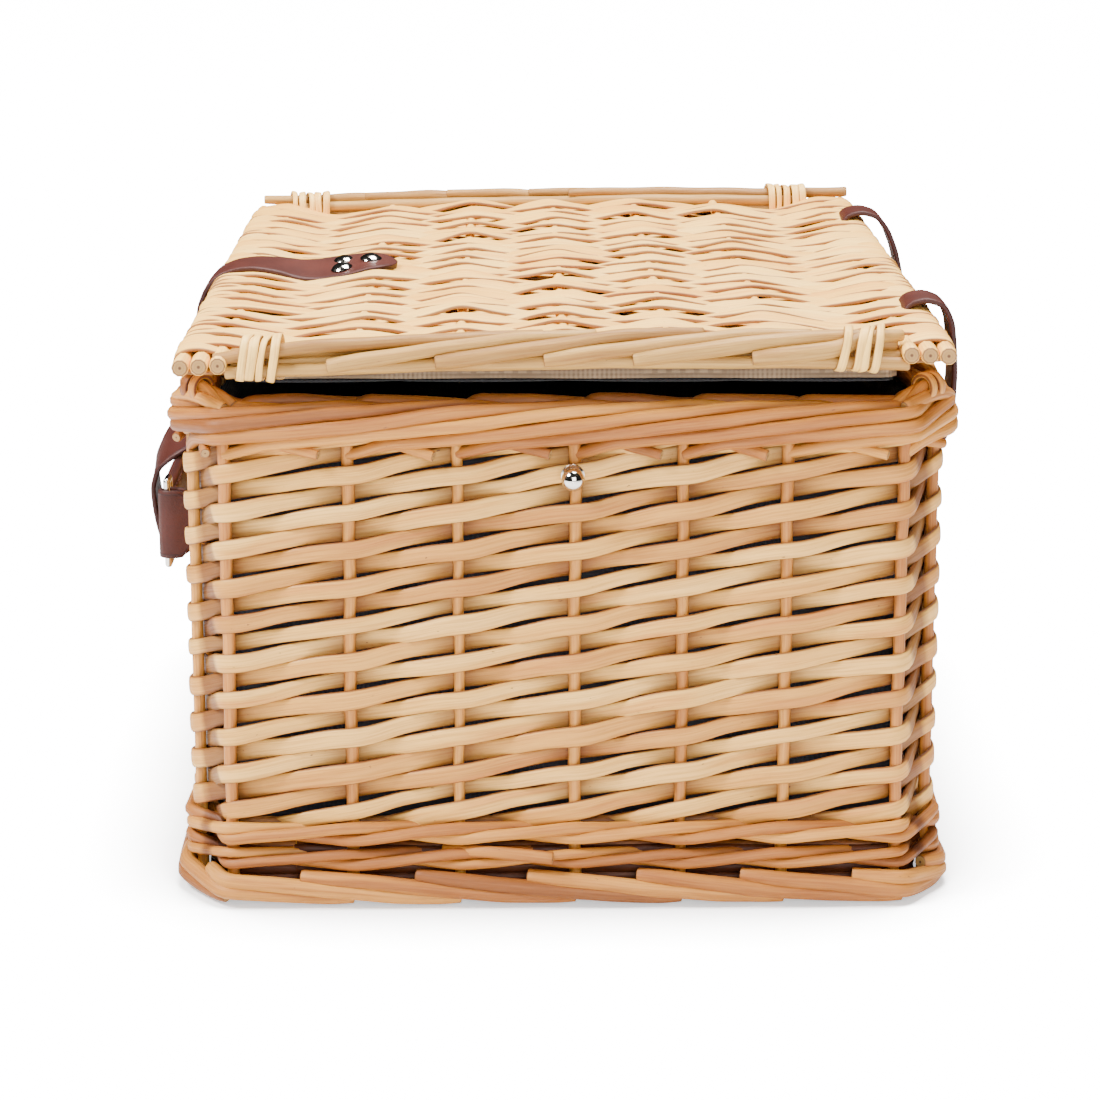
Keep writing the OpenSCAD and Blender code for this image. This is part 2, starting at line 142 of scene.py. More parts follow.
def soften(rows, reach, step):
    """Rows averaged over a distance of reach each way, which rounds a path's corners."""
    half = min(int(round(reach / step)), len(rows) - 2)
    if half < 1:
        return rows
    kernel = np.hanning(2 * half + 3)[1:-1]
    kernel /= kernel.sum()
    before = 2 * rows[:1] - rows[half:0:-1]
    after = 2 * rows[-1:] - rows[-2:-half - 2:-1]
    padded = np.concatenate([before, rows, after])
    return np.stack([np.convolve(column, kernel, "valid") for column in padded.T], 1)


def new_object(name, points, faces, attributes, material):
    """A smooth mesh object from points in millimetres, with its named point attributes."""
    mesh = bpy.data.meshes.new(name)
    mesh.from_pydata((np.asarray(points) * MM).tolist(), [], faces)
    for key, values in attributes.items():
        kind = "FLOAT_VECTOR" if values.ndim == 2 else "FLOAT"
        field = "vector" if values.ndim == 2 else "value"
        layer = mesh.attributes.new(key, kind, "POINT")
        layer.data.foreach_set(field, values.astype(np.float32).ravel())
    mesh.validate()
    mesh.shade_smooth()
    mesh.set_sharp_from_angle(angle=SHARP)
    mesh.materials.append(material)
    made = bpy.data.objects.new(name, mesh)
    bpy.context.scene.collection.objects.link(made)
    return made


class Strands:
    """Sweeps strands of willow and gathers them into one mesh.

    Point attributes: grain is the place in the strand's own wood, tone how dark it is from 0 to 1,
    cut is 0 on bark, 1 on the edge of a cut end and 2 at its pith, and side runs from 0 in the
    middle of a strip to 1 at its long edges, or to ROD_FLANK_SHADE at a rod's flanks, as painted shade.
    """

    def __init__(self, seed):
        self.rng = np.random.default_rng(seed)
        self.points, self.grain, self.tone, self.cut, self.side = [], [], [], [], []
        self.faces = []
        self.count = 0

    def waver(self, length, size):
        """A slow random wave along a strand."""
        total = 0
        for wave in (31, 67, 140):
            total = total + np.sin(2 * math.pi * (length / wave + self.rng.random()))
        return size * total / 2

    def sweep(self, rows, section, waver=0.25, tone=None, spread=0.07, ends=0.1, deep=None):
        """Sweeps a section along rows of centre, outward direction, width and thickness.

        deep, from 0 to 1 for each row, is how far it lies behind the weave, where it is painted with shade.
        """
        centre = rows[:, :3].copy()
        length = run_length(centre)
        along = unit(np.gradient(centre, axis=0))
        out = rows[:, 3:6] - (rows[:, 3:6] * along).sum(1, keepdims=True) * along
        out = unit(out)
        across = np.cross(out, along)
        centre += across * self.waver(length, waver)[:, None]
        size = 1 + self.rng.normal(0, spread)
        width = rows[:, 6] * size * (1 + self.waver(length, 0.035))
        thick = rows[:, 7] * (1 + self.waver(length, 0.03))
        outline = np.array(section)
        side = outline[:, 0][None, :, None] * width[:, None, None] * across[:, None, :]
        front = outline[:, 1][None, :, None] * thick[:, None, None] * out[:, None, :]
        rings = centre[:, None, :] + side + front
        n, m = rings.shape[:2]
        seed = self.rng.random(3) * 500
        tone = self.rng.random() if tone is None else np.clip(tone + self.rng.normal(0, 0.12), 0, 1)
        grain = np.zeros((n, m, 3))
        grain[..., 0] = length[:, None]
        grain[..., 1] = outline[:, 0] * width[:, None]
        grain[..., 2] = outline[:, 1] * thick[:, None]
        # flank carries painted shade at strips' long edges and rods' flanks, and through deep on strands
        # behind the weave
        flank = np.abs(outline[:, 0]) * 2 * (ROD_FLANK_SHADE if section is ROD else 1.0)
        flank = np.tile(flank, (n, 1))
        if deep is not None:
            flank = np.maximum(flank, np.asarray(deep)[:, None])
        self._add(rings.reshape(-1, 3), grain.reshape(-1, 3) + seed, tone, np.zeros(n * m),
                  flank.ravel())
        base = self.count - n * m
        index = base + np.arange(n * m).reshape(n, m)
        after = np.roll(index, -1, axis=1)
        quads = np.stack([index[:-1], after[:-1], after[1:], index[1:]], -1).reshape(-1, 4)
        self.faces += quads.tolist()
        for i, last in ((0, False), (-1, True)):
            self._cap(rings[i], centre[i], along[i] * (1 if last else -1), index[i], last,
                      ends * min(width[i], thick[i]), tone, grain[i] + seed)

    def _add(self, points, grain, tone, cut, side=None):
        self.points.append(points)
        self.grain.append(grain)
        self.tone.append(np.full(len(points), tone))
        self.cut.append(cut)
        self.side.append(np.zeros(len(points)) if side is None else side)
        self.count += len(points)

    def _cap(self, ring_points, middle, away, ring, last, bevel, tone, grain):
        """Closes a strand with a cut face that has a bevelled edge and a pith."""
        m = len(ring_points)
        inner = middle + (ring_points - middle) * 0.84 + away * bevel
        start = self.count
        self._add(inner, grain, tone, np.full(m, 1.0))
        self._add(middle[None] + away[None] * bevel, grain.mean(0, keepdims=True), tone,
                  np.array([2.0]))
        for k in range(m):
            nxt = (k + 1) % m
            quad = [int(ring[k]), int(ring[nxt]), start + nxt, start + k]
            tri = [start + k, start + nxt, start + m]
            self.faces.append(quad if last else quad[::-1])
            self.faces.append(tri if last else tri[::-1])

    def make(self, name, material):
        attributes = {
            "grain": np.concatenate(self.grain),
            "tone": np.concatenate(self.tone),
            "cut": np.concatenate(self.cut),
            "side": np.concatenate(self.side),
        }
        return new_object(name, np.concatenate(self.points), self.faces, attributes, material)


def finish_piece(piece, body, slot, *nodes):
    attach(piece, body)
    if nodes:
        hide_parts(*nodes)
    return piece


# ---------------------------------------------------------------------------
# Materials
# ---------------------------------------------------------------------------


class Shader:
    """A principled material and short ways to add nodes to it."""

    def __init__(self, name, roughness=0.5, **sockets):
        self.material = bpy.data.materials.new(name)
        self.material.use_nodes = True
        self.tree = self.material.node_tree
        self.main = self.tree.nodes["Principled BSDF"]
        self.main.inputs["Roughness"].default_value = roughness
        for key, value in sockets.items():
            self.main.inputs[key.replace("_", " ")].default_value = value

    def node(self, kind, values=None, **settings):
        made = self.tree.nodes.new("ShaderNode" + kind)
        for key, value in settings.items():
            setattr(made, key, value)
        for key, value in (values or {}).items():
            self.put(value, made.inputs[key])
        return made

    def put(self, value, socket):
        if isinstance(value, bpy.types.NodeSocket):
            self.tree.links.new(value, socket)
        else:
            socket.default_value = value

    def attribute(self, name, output="Fac"):
        return self.node("Attribute", attribute_name=name).outputs[output]

    def place(self):
        """Where the point is on the object, in metres, which rides with it."""
        return self.node("TexCoord").outputs["Object"]

    def scaled(self, vector, scale):
        return self.node("Mapping", {"Vector": vector, "Scale": scale}).outputs["Vector"]

    def noise(self, vector, scale=1.0, detail=3.0, roughness=0.5, distortion=0.0):
        values = {"Vector": vector, "Scale": scale, "Detail": detail, "Roughness": roughness,
                  "Distortion": distortion}
        return self.node("TexNoise", values).outputs["Fac"]

    def math(self, operation, a, b=0.0, clamp=False):
        return self.node("Math", {0: a, 1: b}, operation=operation, use_clamp=clamp).outputs[0]

    def fit(self, value, low, high, to_low=0.0, to_high=1.0):
        values = {"Value": value, "From Min": low, "From Max": high, "To Min": to_low,
                  "To Max": to_high}
        return self.node("MapRange", values, interpolation_type="SMOOTHSTEP").outputs["Result"]

    def mix(self, factor, a, b, blend="MIX"):
        made = self.node("Mix", data_type="RGBA", blend_type=blend)
        for value, socket in ((factor, made.inputs[0]), (a, made.inputs[6]), (b, made.inputs[7])):
            self.put(value, socket)
        return made.outputs[2]

    def ramp(self, factor, stops):
        made = self.node("ValToRGB", {"Fac": factor})
        elements = made.color_ramp.elements
        while len(elements) < len(stops):
            elements.new(0.5)
        for element, (at, colour) in zip(elements, stops):
            element.position, element.color = at, (*colour, 1)
        return made.outputs["Color"]

    def bump(self, height, distance, strength=1.0, under=None):
        values = {"Height": height, "Distance": distance, "Strength": strength}
        if under is not None:
            values["Normal"] = under
        return self.node("Bump", values).outputs["Normal"]

    def finish(self, colour, roughness=None, normal=None):
        self.put(colour, self.main.inputs["Base Color"])
        if roughness is not None:
            self.put(roughness, self.main.inputs["Roughness"])
        if normal is not None:
            self.put(normal, self.main.inputs["Normal"])
        return self.material


def willow(name, tones, blush, marks=1.0):
    """Peeled willow: each strand has its own tone, with long streaks, blushes, specks and knots."""
    s = Shader(name, roughness=0.5, Specular_IOR_Level=0.35)
    grain = s.attribute("grain", "Vector")
    tone = s.attribute("tone")
    cut = s.attribute("cut")
    streak = s.noise(s.scaled(grain, (0.035, 1.3, 1.3)), detail=5, roughness=0.62)
    broad = s.noise(s.scaled(grain, (0.011, 0.13, 0.13)), detail=3, distortion=0.4)
    fibre = s.noise(s.scaled(grain, (0.09, 5.0, 5.0)), detail=4, roughness=0.7)
    shade = s.math("ADD", s.math("MULTIPLY", tone, 0.46), s.math("MULTIPLY", broad, 0.66))
    colour = s.ramp(s.fit(shade, 0.12, 0.95), tones)
    colour = s.mix(s.fit(broad, 0.52, 0.72, 0.0, 0.5), colour, (*blush, 1))
    colour = s.mix(s.fit(streak, 0.38, 0.66, 0.0, 0.34), colour, (0.42, 0.2, 0.075, 1), "MULTIPLY")
    colour = s.mix(s.fit(fibre, 0.5, 0.75, 0.0, 0.22), colour, (0.55, 0.33, 0.15, 1), "MULTIPLY")
    speck = s.noise(s.scaled(grain, (0.32, 0.75, 0.75)), detail=2)
    colour = s.mix(s.fit(speck, 0.735, 0.79, 0.0, 0.75 * marks), colour, (0.13, 0.055, 0.02, 1))
    smudge = s.noise(s.scaled(grain, (0.045, 0.28, 0.28)), detail=6, roughness=0.75)
    colour = s.mix(s.fit(smudge, 0.70, 0.80, 0.0, 0.45 * marks), colour, (0.2, 0.14, 0.09, 1))
    # Painted shade: strips' long edges, rods' flanks and strands deep behind the weave are darkened as if
    # shaded between strands
    painted_shade = s.fit(s.attribute("side"), 0.84, 1.0, 0.0, 0.9)
    colour = s.mix(painted_shade, colour, (0.20, 0.105, 0.05, 1), "MULTIPLY")
    heart = s.ramp(s.math("SUBTRACT", cut, 1.0, True), [
        (0.0, (0.15, 0.06, 0.015)), (0.18, (0.40, 0.22, 0.07)), (0.5, (0.34, 0.18, 0.05)),
        (0.68, (0.40, 0.22, 0.07)), (0.86, (0.10, 0.04, 0.012))])
    colour = s.mix(s.fit(cut, 0.2, 0.95), colour, heart)
    height = s.math("ADD", s.math("MULTIPLY", streak, 0.7), s.math("MULTIPLY", fibre, 0.3))
    rough = s.fit(streak, 0.3, 0.7, 0.42, 0.62)
    return s.finish(colour, rough, s.bump(height, 0.0005, 0.55))


def leather_material():
    s = Shader("leather", roughness=0.5, Specular_IOR_Level=0.26)
    place = s.attribute("grain", "Vector")
    edge = s.attribute("edge")
    pebble = s.node("TexVoronoi", {"Vector": place, "Scale": 1.5}, feature="F1").outputs["Distance"]
    fine = s.noise(place, 2.6, 4, 0.6)
    broad = s.noise(place, 0.07, 3)
    colour = s.ramp(broad, [(0.3, (0.040, 0.0085, 0.0055)), (0.7, (0.066, 0.0145, 0.009))])
    colour = s.mix(s.fit(fine, 0.45, 0.75, 0.0, 0.35), colour, (0.095, 0.024, 0.015, 1))
    crease = s.math("MULTIPLY", s.fit(edge, 1.0, 1.35), s.fit(edge, 2.1, 1.75))
    colour = s.mix(s.math("MULTIPLY", crease, 0.55), colour, (0.02, 0.006, 0.006, 1))
    colour = s.mix(s.fit(edge, 0.35, 0.0, 0.0, 0.75), colour, (0.03, 0.009, 0.008, 1))
    height = s.math("ADD", s.math("MULTIPLY", pebble, 0.4), s.math("MULTIPLY", fine, 0.5))
    height = s.math("SUBTRACT", height, s.math("MULTIPLY", crease, 0.9))
    return s.finish(colour, s.fit(fine, 0.3, 0.7, 0.42, 0.58), s.bump(height, 0.0003, 0.5))


def thread_material():
    s = Shader("thread", roughness=0.7)
    twist = s.node("TexWave", {"Vector": s.attribute("grain", "Vector"), "Scale": 1.2},
                   bands_direction="DIAGONAL").outputs["Fac"]
    return s.finish(s.mix(twist, (0.05, 0.014, 0.012, 1), (0.16, 0.055, 0.045, 1)), None,
                    s.bump(twist, 0.0002, 0.6))


def nickel_material():
    s = Shader("nickel", roughness=0.12, Metallic=1.0)
    scuff = s.noise(s.place(), 900, 5, 0.65)
    colour = s.mix(s.fit(scuff, 0.4, 0.75), (0.74, 0.70, 0.64, 1), (0.60, 0.55, 0.48, 1))
    return s.finish(colour, s.fit(scuff, 0.35, 0.8, 0.07, 0.24), s.bump(scuff, 0.00005, 0.15))


def cloth_material(name, dark, light, check=None):
    """A plain weave, with an optional fine check of the given colour."""
    s = Shader(name, roughness=0.85, Sheen_Weight=0.08)
    place = s.place()
    thread = {"Vector": place, "Scale": 1150 / TURN, "Distortion": 0.25}
    warp, weft, rise = (s.node("TexWave", thread, bands_direction=d).outputs["Fac"] for d in "XYZ")
    weave = s.math("ADD", s.math("MULTIPLY", warp, weft), s.math("MULTIPLY", rise, 0.5))
    slub = s.noise(place, 90, 4, 0.6)
    tone = s.math("ADD", s.math("MULTIPLY", weave, 0.55), s.math("MULTIPLY", slub, 0.45))
    colour = s.mix(s.fit(tone, 0.15, 0.9), (*dark, 1), (*light, 1))
    if check is not None:
        bars = [s.node("TexWave", {"Vector": place, "Scale": 62.0}, bands_direction=d).outputs["Fac"]
                for d in "XYZ"]
        first, second, third = (s.fit(bar, 0.5, 0.75) for bar in bars)
        lines = s.math("MAXIMUM", s.math("MAXIMUM", first, second), third)
        colour = s.mix(s.math("MULTIPLY", lines, 0.4), colour, (*check, 1))
    return s.finish(colour, None, s.bump(weave, 0.0002, 0.7))


WILLOW = willow("willow", [(0.0, (0.84, 0.50, 0.14)), (0.35, (0.71, 0.375, 0.075)),
                           (0.7, (0.62, 0.29, 0.05)), (1.0, (0.44, 0.175, 0.026))],
                (0.60, 0.22, 0.042), 1.25)
STAKE = willow("stake_willow", [(0.0, (0.70, 0.33, 0.06)), (0.5, (0.55, 0.22, 0.036)),
                                (1.0, (0.36, 0.12, 0.018))], (0.42, 0.15, 0.022))
BORDER = willow("border_willow", [(0.0, (0.68, 0.32, 0.058)), (0.4, (0.50, 0.205, 0.03)),
                                  (0.75, (0.34, 0.115, 0.016)), (1.0, (0.17, 0.05, 0.007))],
                (0.31, 0.10, 0.014))
LID = willow("lid_willow", [(0.0, (0.98, 0.62, 0.165)), (0.5, (0.96, 0.54, 0.11)),
                            (1.0, (0.84, 0.41, 0.065))], (0.82, 0.36, 0.07), 0.8)
LID_BORDER = willow("lid_border_willow", [(0.0, (0.50, 0.29, 0.07)), (0.5, (0.41, 0.21, 0.042)),
                                          (1.0, (0.28, 0.13, 0.025))], (0.30, 0.13, 0.022))
LEATHER = leather_material()
THREAD = thread_material()
NICKEL = nickel_material()
# Navy cloth, darkened past its own colour to near black as painted shade behind the weave
NAVY = cloth_material("navy_fabric", (0.003, 0.003, 0.005), (0.010, 0.011, 0.019))
# Check cloth, its colours darkened as painted shade for the band's place under the lid
CHECK = cloth_material("check_fabric", (0.20, 0.13, 0.07), (0.42, 0.29, 0.17), (0.07, 0.045, 0.025))


# ---------------------------------------------------------------------------
# The ring of stakes, counted anticlockwise from above, from the right wall's front corner
# ---------------------------------------------------------------------------


# How far each stake of the right wall stands from even spacing in the photo
STAKE_DRIFT = [0, 3.7, 2.4, 4.0, 2.3, -0.8, 0]


def stake_ring():
    places, walls = [], []
    end = np.linspace(-END_SPAN, END_SPAN, STAKES_END)
    side = np.linspace(-LONG_SPAN, LONG_SPAN, STAKES_LONG)
    places += [(STAKE_X, y + drift) for y, drift in zip(end, STAKE_DRIFT)]
    places += [(x, STAKE_Y) for x in side[::-1]]
    places += [(-STAKE_X, y) for y in end[::-1]]
    places += [(x, -STAKE_Y) for x in side]
    for wall, count in (("right", STAKES_END), ("back", STAKES_LONG),
                        ("left", STAKES_END), ("front", STAKES_LONG)):
        walls += [wall] * count
    places = np.array(places)
    facing = {"right": (1, 0), "back": (0, 1), "left": (-1, 0), "front": (0, -1)}
    normals = np.array([facing[w] for w in walls], float)
    n = len(places)
    for k in range(n):
        for other in ((k - 1) % n, (k + 1) % n):
            if walls[other] != walls[k]:
                run = places[other] - places[k] if other == (k + 1) % n else places[k] - places[other]
                slant = np.array([run[1], -run[0]]) / np.linalg.norm(run)
                normals[k] = unit(normals[k] + slant)
    return places, normals, walls


PLACES, NORMALS, WALLS = stake_ring()
COUNT = len(PLACES)
SIDES = ("front", "back", "left", "right")


def stakes_of(wall):
    return [k for k in range(COUNT) if WALLS[k] == wall]


def around(keys, step=3.0, reach=5.0):
    """Rows for a strand that runs round the ring.

    keys hold the place in stakes, the height, the distance out from the stakes, and the
    diameter.
    """
    keys = np.array(keys, float)
    whole = np.arange(math.ceil(keys[0, 0]), math.floor(keys[-1, 0]) + 1)
    at = np.unique(np.concatenate([keys[:, 0], whole]))
    z, off, d = (np.interp(at, keys[:, 0], keys[:, c]) for c in (1, 2, 3))
    low = np.floor(at).astype(int)
    part = (at - low)[:, None]
    base = PLACES[low % COUNT] * (1 - part) + PLACES[(low + 1) % COUNT] * part
    out = NORMALS[low % COUNT] * (1 - part) + NORMALS[(low + 1) % COUNT] * part
    rows = np.zeros((len(at), 8))
    rows[:, :2] = base + out * off[:, None]
    rows[:, 2] = z
    rows[:, 3:5] = out
    rows[:, 6] = rows[:, 7] = d
    return soften(resample(rows, step), reach, step)


# ---------------------------------------------------------------------------
# Body: stakes, siding, wale, rim and foot
# ---------------------------------------------------------------------------

ROWS = 10
SIDING_LOW, SIDING_HIGH = WALE_TOP, RIM_LOW
STRIP_W, STRIP_T = 7.4, 2.3
ROW_PITCH = (SIDING_HIGH - SIDING_LOW - STRIP_W) / (ROWS - 0.5)
WEAVE_OUT = STAKE_R + STRIP_T / 2


def make_stakes():
    for wall in SIDES:
        strands = Strands(11 + len(wall))
        for k in stakes_of(wall):
            x, y = PLACES[k]
            rows = np.zeros((40, 8))
            rows[:, 0], rows[:, 1] = x, y
            rows[:, 2] = np.linspace(5, RIM_TOP - 6, 40)
            rows[:, 3:5] = NORMALS[k]
            rows[:, 6] = rows[:, 7] = 2 * STAKE_R
            strands.sweep(rows, ROD, waver=0.3, spread=0.06)
        finish_piece(strands.make(f"stakes_{wall}_rods", STAKE), "basket", "willow",
                     f"stakes_{wall}")


def make_siding():
    """Randing: one strip starts at every stake and climbs half a row at each next one."""
    for wall in SIDES:
        strands = Strands(29 + 3 * len(wall))
        for k in stakes_of(wall):
            keys = []
            for j in range(-1, 2 * ROWS + 2):
                z = min(SIDING_LOW + STRIP_W / 2 + j * ROW_PITCH / 2, RIM_LOW + 5)
                front = j % 2 == 0
                z += strands.rng.normal(0, 0.35) + (0 if front else -0.5)
                place = k + max(j, -0.7)
                off = WEAVE_OUT if front else -WEAVE_OUT
                if front and j > 0:
                    keys.append((place - 0.13, z - 0.5, off - 0.2, 1.0))
                keys.append((place, z, off + 0.15 * front, 1.0))
                if front:
                    keys.append((place + 0.13, z + 0.5, off - 0.2, 1.0))
                if j > -1 and j < 2 * ROWS + 1:
                    keys.append((place + 0.5, z + ROW_PITCH / 4 + 0.2, 0, 0.9))
            rows = around(keys, step=3.2, reach=5)
            rows[:, 7] = STRIP_T
            rows[:, 6] *= STRIP_W
            strands.sweep(rows, STRIP, waver=0.3, deep=depth(rows))
        finish_piece(strands.make(f"siding_{wall}_strips", WILLOW), "basket", "willow",
                     f"siding_{wall}")


def make_wale():
    """Two bands of three rods, each in front of two stakes and behind one."""
    d = 4.5
    for name, seed, low, high in (("lower", 41, FOOT_TOP, (FOOT_TOP + WALE_TOP) / 2),
                                  ("upper", 43, (FOOT_TOP + WALE_TOP) / 2, WALE_TOP)):
        middle, rise, out = (low + high) / 2, 2.3, STAKE_R + d / 2 + 0.4
        strands = Strands(seed)
        for rod in range(3):
            start = 19.6 + rod
            keys = []
            for k in range(int(start), int(start) + COUNT + 2):
                z, off = [(middle - rise, out), (middle + rise, out), (middle, -out)][(k - rod) % 3]
                keys.append((max(k, start), z + strands.rng.normal(0, 0.2), off, d))
            rows = around(keys, step=2.6)
            strands.sweep(rows, ROD, waver=0.2, spread=0.08, deep=depth(rows))
        for z in (middle - 2.4, middle + 2.4):
            keys = [(k + 0.5, z + strands.rng.normal(0, 0.3), -3.6, 4.8) for k in range(COUNT + 1)]
            rows = around(keys, step=5)
            strands.sweep(rows, ROD, waver=0.2, deep=depth(rows))
        if name == "lower":
            tip = [(1.85, middle + 2.4, 1.0, 4.2), (2.25, middle + 3.6, 6.4, 4.4),
                   (2.8, middle + 1.7, 8.8, 4.4)]
            strands.sweep(around(tip, step=2.4), ROD, waver=0.1)
        finish_piece(strands.make(f"wale_{name}_rods", BORDER), "basket", "willow",
                     "wale_front", "wale_back", "wale_left", "wale_right")


def depth(rows, reach=3.4):
    """How deep behind the ring of stakes each row lies, from 0 to 1, which sets painted shade."""
    off = np.maximum(np.abs(rows[:, 0]) - STAKE_X, np.abs(rows[:, 1]) - STAKE_Y)
    return 0.8 + 0.17 * np.clip(-off / reach, -4, 1)


def shifted(keys, start, rng, size=0.25):
    return [(start + s, z + rng.normal(0, size), off + rng.normal(0, size), d)
            for s, z, off, d in keys]


# Height, distance out and diameter of one border rod, by its place in stakes from its own stake
RIM_KEYS = [
    (0.0, RIM_LOW - 4, 0.0, 4.8), (0.35, RIM_LOW + 0.5, 3.0, 5.2), (1.0, RIM_LOW + 3.4, 6.6, 5.4),
    (2.0, RIM_LOW + 7.6, 7.2, 5.2), (3.0, RIM_LOW + 12.2, 6.0, 5.0), (3.6, RIM_LOW + 13.4, 2.5, 4.8),
    (4.0, RIM_LOW + 13.4, -1.5, 4.8), (4.3, RIM_LOW + 12.4, -3.6, 4.8), (5.0, RIM_LOW + 9.5, -3.8, 4.6),
    (5.25, RIM_LOW + 5, -2.5, 4.4), (5.45, RIM_LOW - 0.2, 1.0, 4.2), (5.78, RIM_LOW - 3.4, 6.6, 3.8)]
# The top rod inside the rim: it reaches from one stake to just past the next
TOP_KEYS = [
    (0.05, RIM_LOW + 7.0, -5.0, 5.0), (0.08, RIM_LOW + 12.0, -5.6, 5.2),
    (0.16, RIM_LOW + 14.4, -6.0, 5.6), (0.6, RIM_LOW + 14.2, -6.2, 6.0),
    (1.0, RIM_LOW + 13.4, -6.6, 5.8), (1.12, RIM_LOW + 12.8, -7.2, 5.4)]
FOOT_KEYS = [
    (0.60, 11.4, 5.0, 6.0), (0.85, 10.7, 6.4, 6.5), (1.6, 7.5, 7.0, 6.6), (2.35, 4.6, 7.0, 6.2),
    (2.85, 3.6, 6.2, 5.2), (3.0, 3.4, 5.6, 4.2)]
# Rods behind the foot border, seen as dark layers through its gaps; their darkness is painted shade
CORE_KEYS = [(3.4, -4.5), (7.8, -4.5), (12.2, -4), (16, -2), (19.5, -1.6), (5.6, -8.5), (10, -8.5)]


def make_borders():
    for wall in SIDES:
        strands = Strands(53 + 5 * len(wall))
        for k in stakes_of(wall):
            strands.sweep(around(shifted(RIM_KEYS, k, strands.rng), step=2.2, reach=5), ROD,
                          waver=0.2, spread=0.06)
            # A dark tone paints these inside rods with the shade they sit in within the rim
            strands.sweep(around(shifted(TOP_KEYS, k, strands.rng), step=2.0, reach=2), ROD,
                          waver=0.15, spread=0.06, tone=0.85)
        finish_piece(strands.make(f"rim_{wall}_rods", BORDER), "basket", "border_willow",
                     f"rim_{wall}")
    strands = Strands(71)
    for k in range(COUNT):
        strands.sweep(around(shifted(FOOT_KEYS, k, strands.rng, 0.12), step=2.2, reach=4), ROD,
                      waver=0.15, spread=0.04)
    for z, off in CORE_KEYS:
        keys = [(k + 0.5, z + strands.rng.normal(0, 0.2), off, 4.8) for k in range(COUNT + 1)]
        rows = around(keys, step=5)
        # A dark tone and full deep paint these rods with shade
        strands.sweep(rows, ROD, waver=0.2, tone=0.9, deep=np.full(len(rows), 1.0))
    finish_piece(strands.make("foot_border_rods", BORDER), "basket", "border_willow", "foot_border")


def make_knots():
    """At each corner the last border rods ride up over the others and carry the lid."""
    for sx, sy, name in ((1, 1, "back_right"), (-1, 1, "back_left"),
                         (-1, -1, "front_left"), (1, -1, "front_right")):
        strands = Strands(83 + sx * 2 + sy)
        low, high = box(f"rim_knot_{name}")
        middle = (low + high) / 2
        slant = unit(np.array([sx * 0.62, sy * 0.78]))
        run = np.array([-slant[1], slant[0]])
        # each rod: how far out and up it runs, its half length, and its diameter
        for out, up, half, d in ((2.6, 0.6, 15, 5.0), (-3.0, 2.2, 13, 4.8), (0.4, 4.6, 10, 4.6)):
            t = np.linspace(-1, 1, 25)
            rows = np.zeros((25, 8))
            reach = out - 2.6 * t * t
            rows[:, :2] = middle[:2] + run * (t * half)[:, None] + slant * reach[:, None]
            rows[:, 2] = RIM_TOP + up - (up + 2.2) * t * t
            rows[:, 3:5] = slant
            rows[:, 5] = 0.4
            rows[:, 6] = rows[:, 7] = d
            strands.sweep(rows, ROD, waver=0.2)
        for shift, lean in ((-3.4, 0.5), (2.2, -0.4)):
            turn = np.linspace(-0.3, 0.85, 30) * 2 * math.pi
            rows = np.zeros((30, 8))
            across = 4.6 * np.cos(turn)
            rows[:, :2] = middle[:2] + slant * across[:, None] + run * (shift + lean * turn)[:, None]
            rows[:, 2] = RIM_TOP + 3.2 + 4.7 * np.sin(turn)
            rows[:, 3:5] = slant * np.cos(turn)[:, None]
            rows[:, 5] = np.sin(turn)
            rows[:, 6], rows[:, 7] = 3.8, 2.0
            strands.sweep(rows, STRIP, waver=0.1)
        finish_piece(strands.make(f"rim_knot_{name}_rods", BORDER), "basket", "border_willow",
                     f"rim_knot_{name}")


# ---------------------------------------------------------------------------
# Lid
# ---------------------------------------------------------------------------

LID_STRIPS = 38
EDGE_STICKS = [LID_Y - 1.6 - STICK_R * (2 * k + 1) for k in range(3)]
INNER_STICKS = [-76.0, -38.0, 0.0, 38.0, 76.0]
LID_STRIP_T = 1.5
LID_STRIP_W = 13.2
INNER_RISE = 2.9
LID_TILT, LID_CROWN = 2.0, 3.0


def lid_rise(y):
    """How far the lid stands off its flat plane: low at the front, crowned in the middle.

    The crown is judged from the photo.
    """
    t = np.asarray(y) / LID_Y
    return -0.9 + LID_TILT * t + LID_CROWN * (1 - t * t)


def make_lid_sticks():
    strands = Strands(97)
    for y in [s * e for s in (-1, 1) for e in EDGE_STICKS] + INNER_STICKS:
        edge = abs(y) > 100
        reach = LID_X if edge else LID_END_IN + 2
        rows = np.zeros((70, 8))
        rows[:, 0] = np.linspace(-reach, reach, 70)
        rows[:, 1], rows[:, 2] = y, LID_MID + lid_rise(y)
        rows[:, 5] = 1
        rows[:, 6] = rows[:, 7] = 2 * STICK_R - 0.1 if edge else 4.6
        strands.sweep(rows, ROD, waver=0.12, spread=0.03, tone=0.5)
    finish_piece(strands.make("lid_stick_rods", LID), "lid", "lid_willow", "lid_sticks")


def lid_strip_rows(over_edge, rng):
    """One strip across the lid, tucked under at both long edges and round the outer sticks."""
    reach = STICK_R + LID_STRIP_T / 2
    edge = EDGE_STICKS[0]
    half = [(-EDGE_STICKS[2] + 16, -5.4), (-EDGE_STICKS[2], -5.0)]
    for angle in np.linspace(-90, 90, 7):
        a = math.radians(angle)
        half.append((-edge - reach * math.cos(a), reach * math.sin(a)))
    side = 1 if over_edge else -1
    half.append((-EDGE_STICKS[1], reach))
    half.append((-EDGE_STICKS[2] + (0 if over_edge else 2.5), reach if over_edge else 0.6))
    half.append((-104 + rng.normal(0, 1.2), -1.0 + rng.normal(0, 0.4)))
    inner = []
    lively = rng.uniform(0.85, 1.1)
    for k, y in enumerate(INNER_STICKS):
        up = -side if k % 2 == 0 else side
        inner.append((y + rng.normal(0, 0.8), up * INNER_RISE * lively * (1 + rng.normal(0, 0.14))))
    line = np.array(half + inner + [(-y, z) for y, z in half[::-1]])
    line[:, 1] += LID_MID + lid_rise(line[:, 0])
    return line


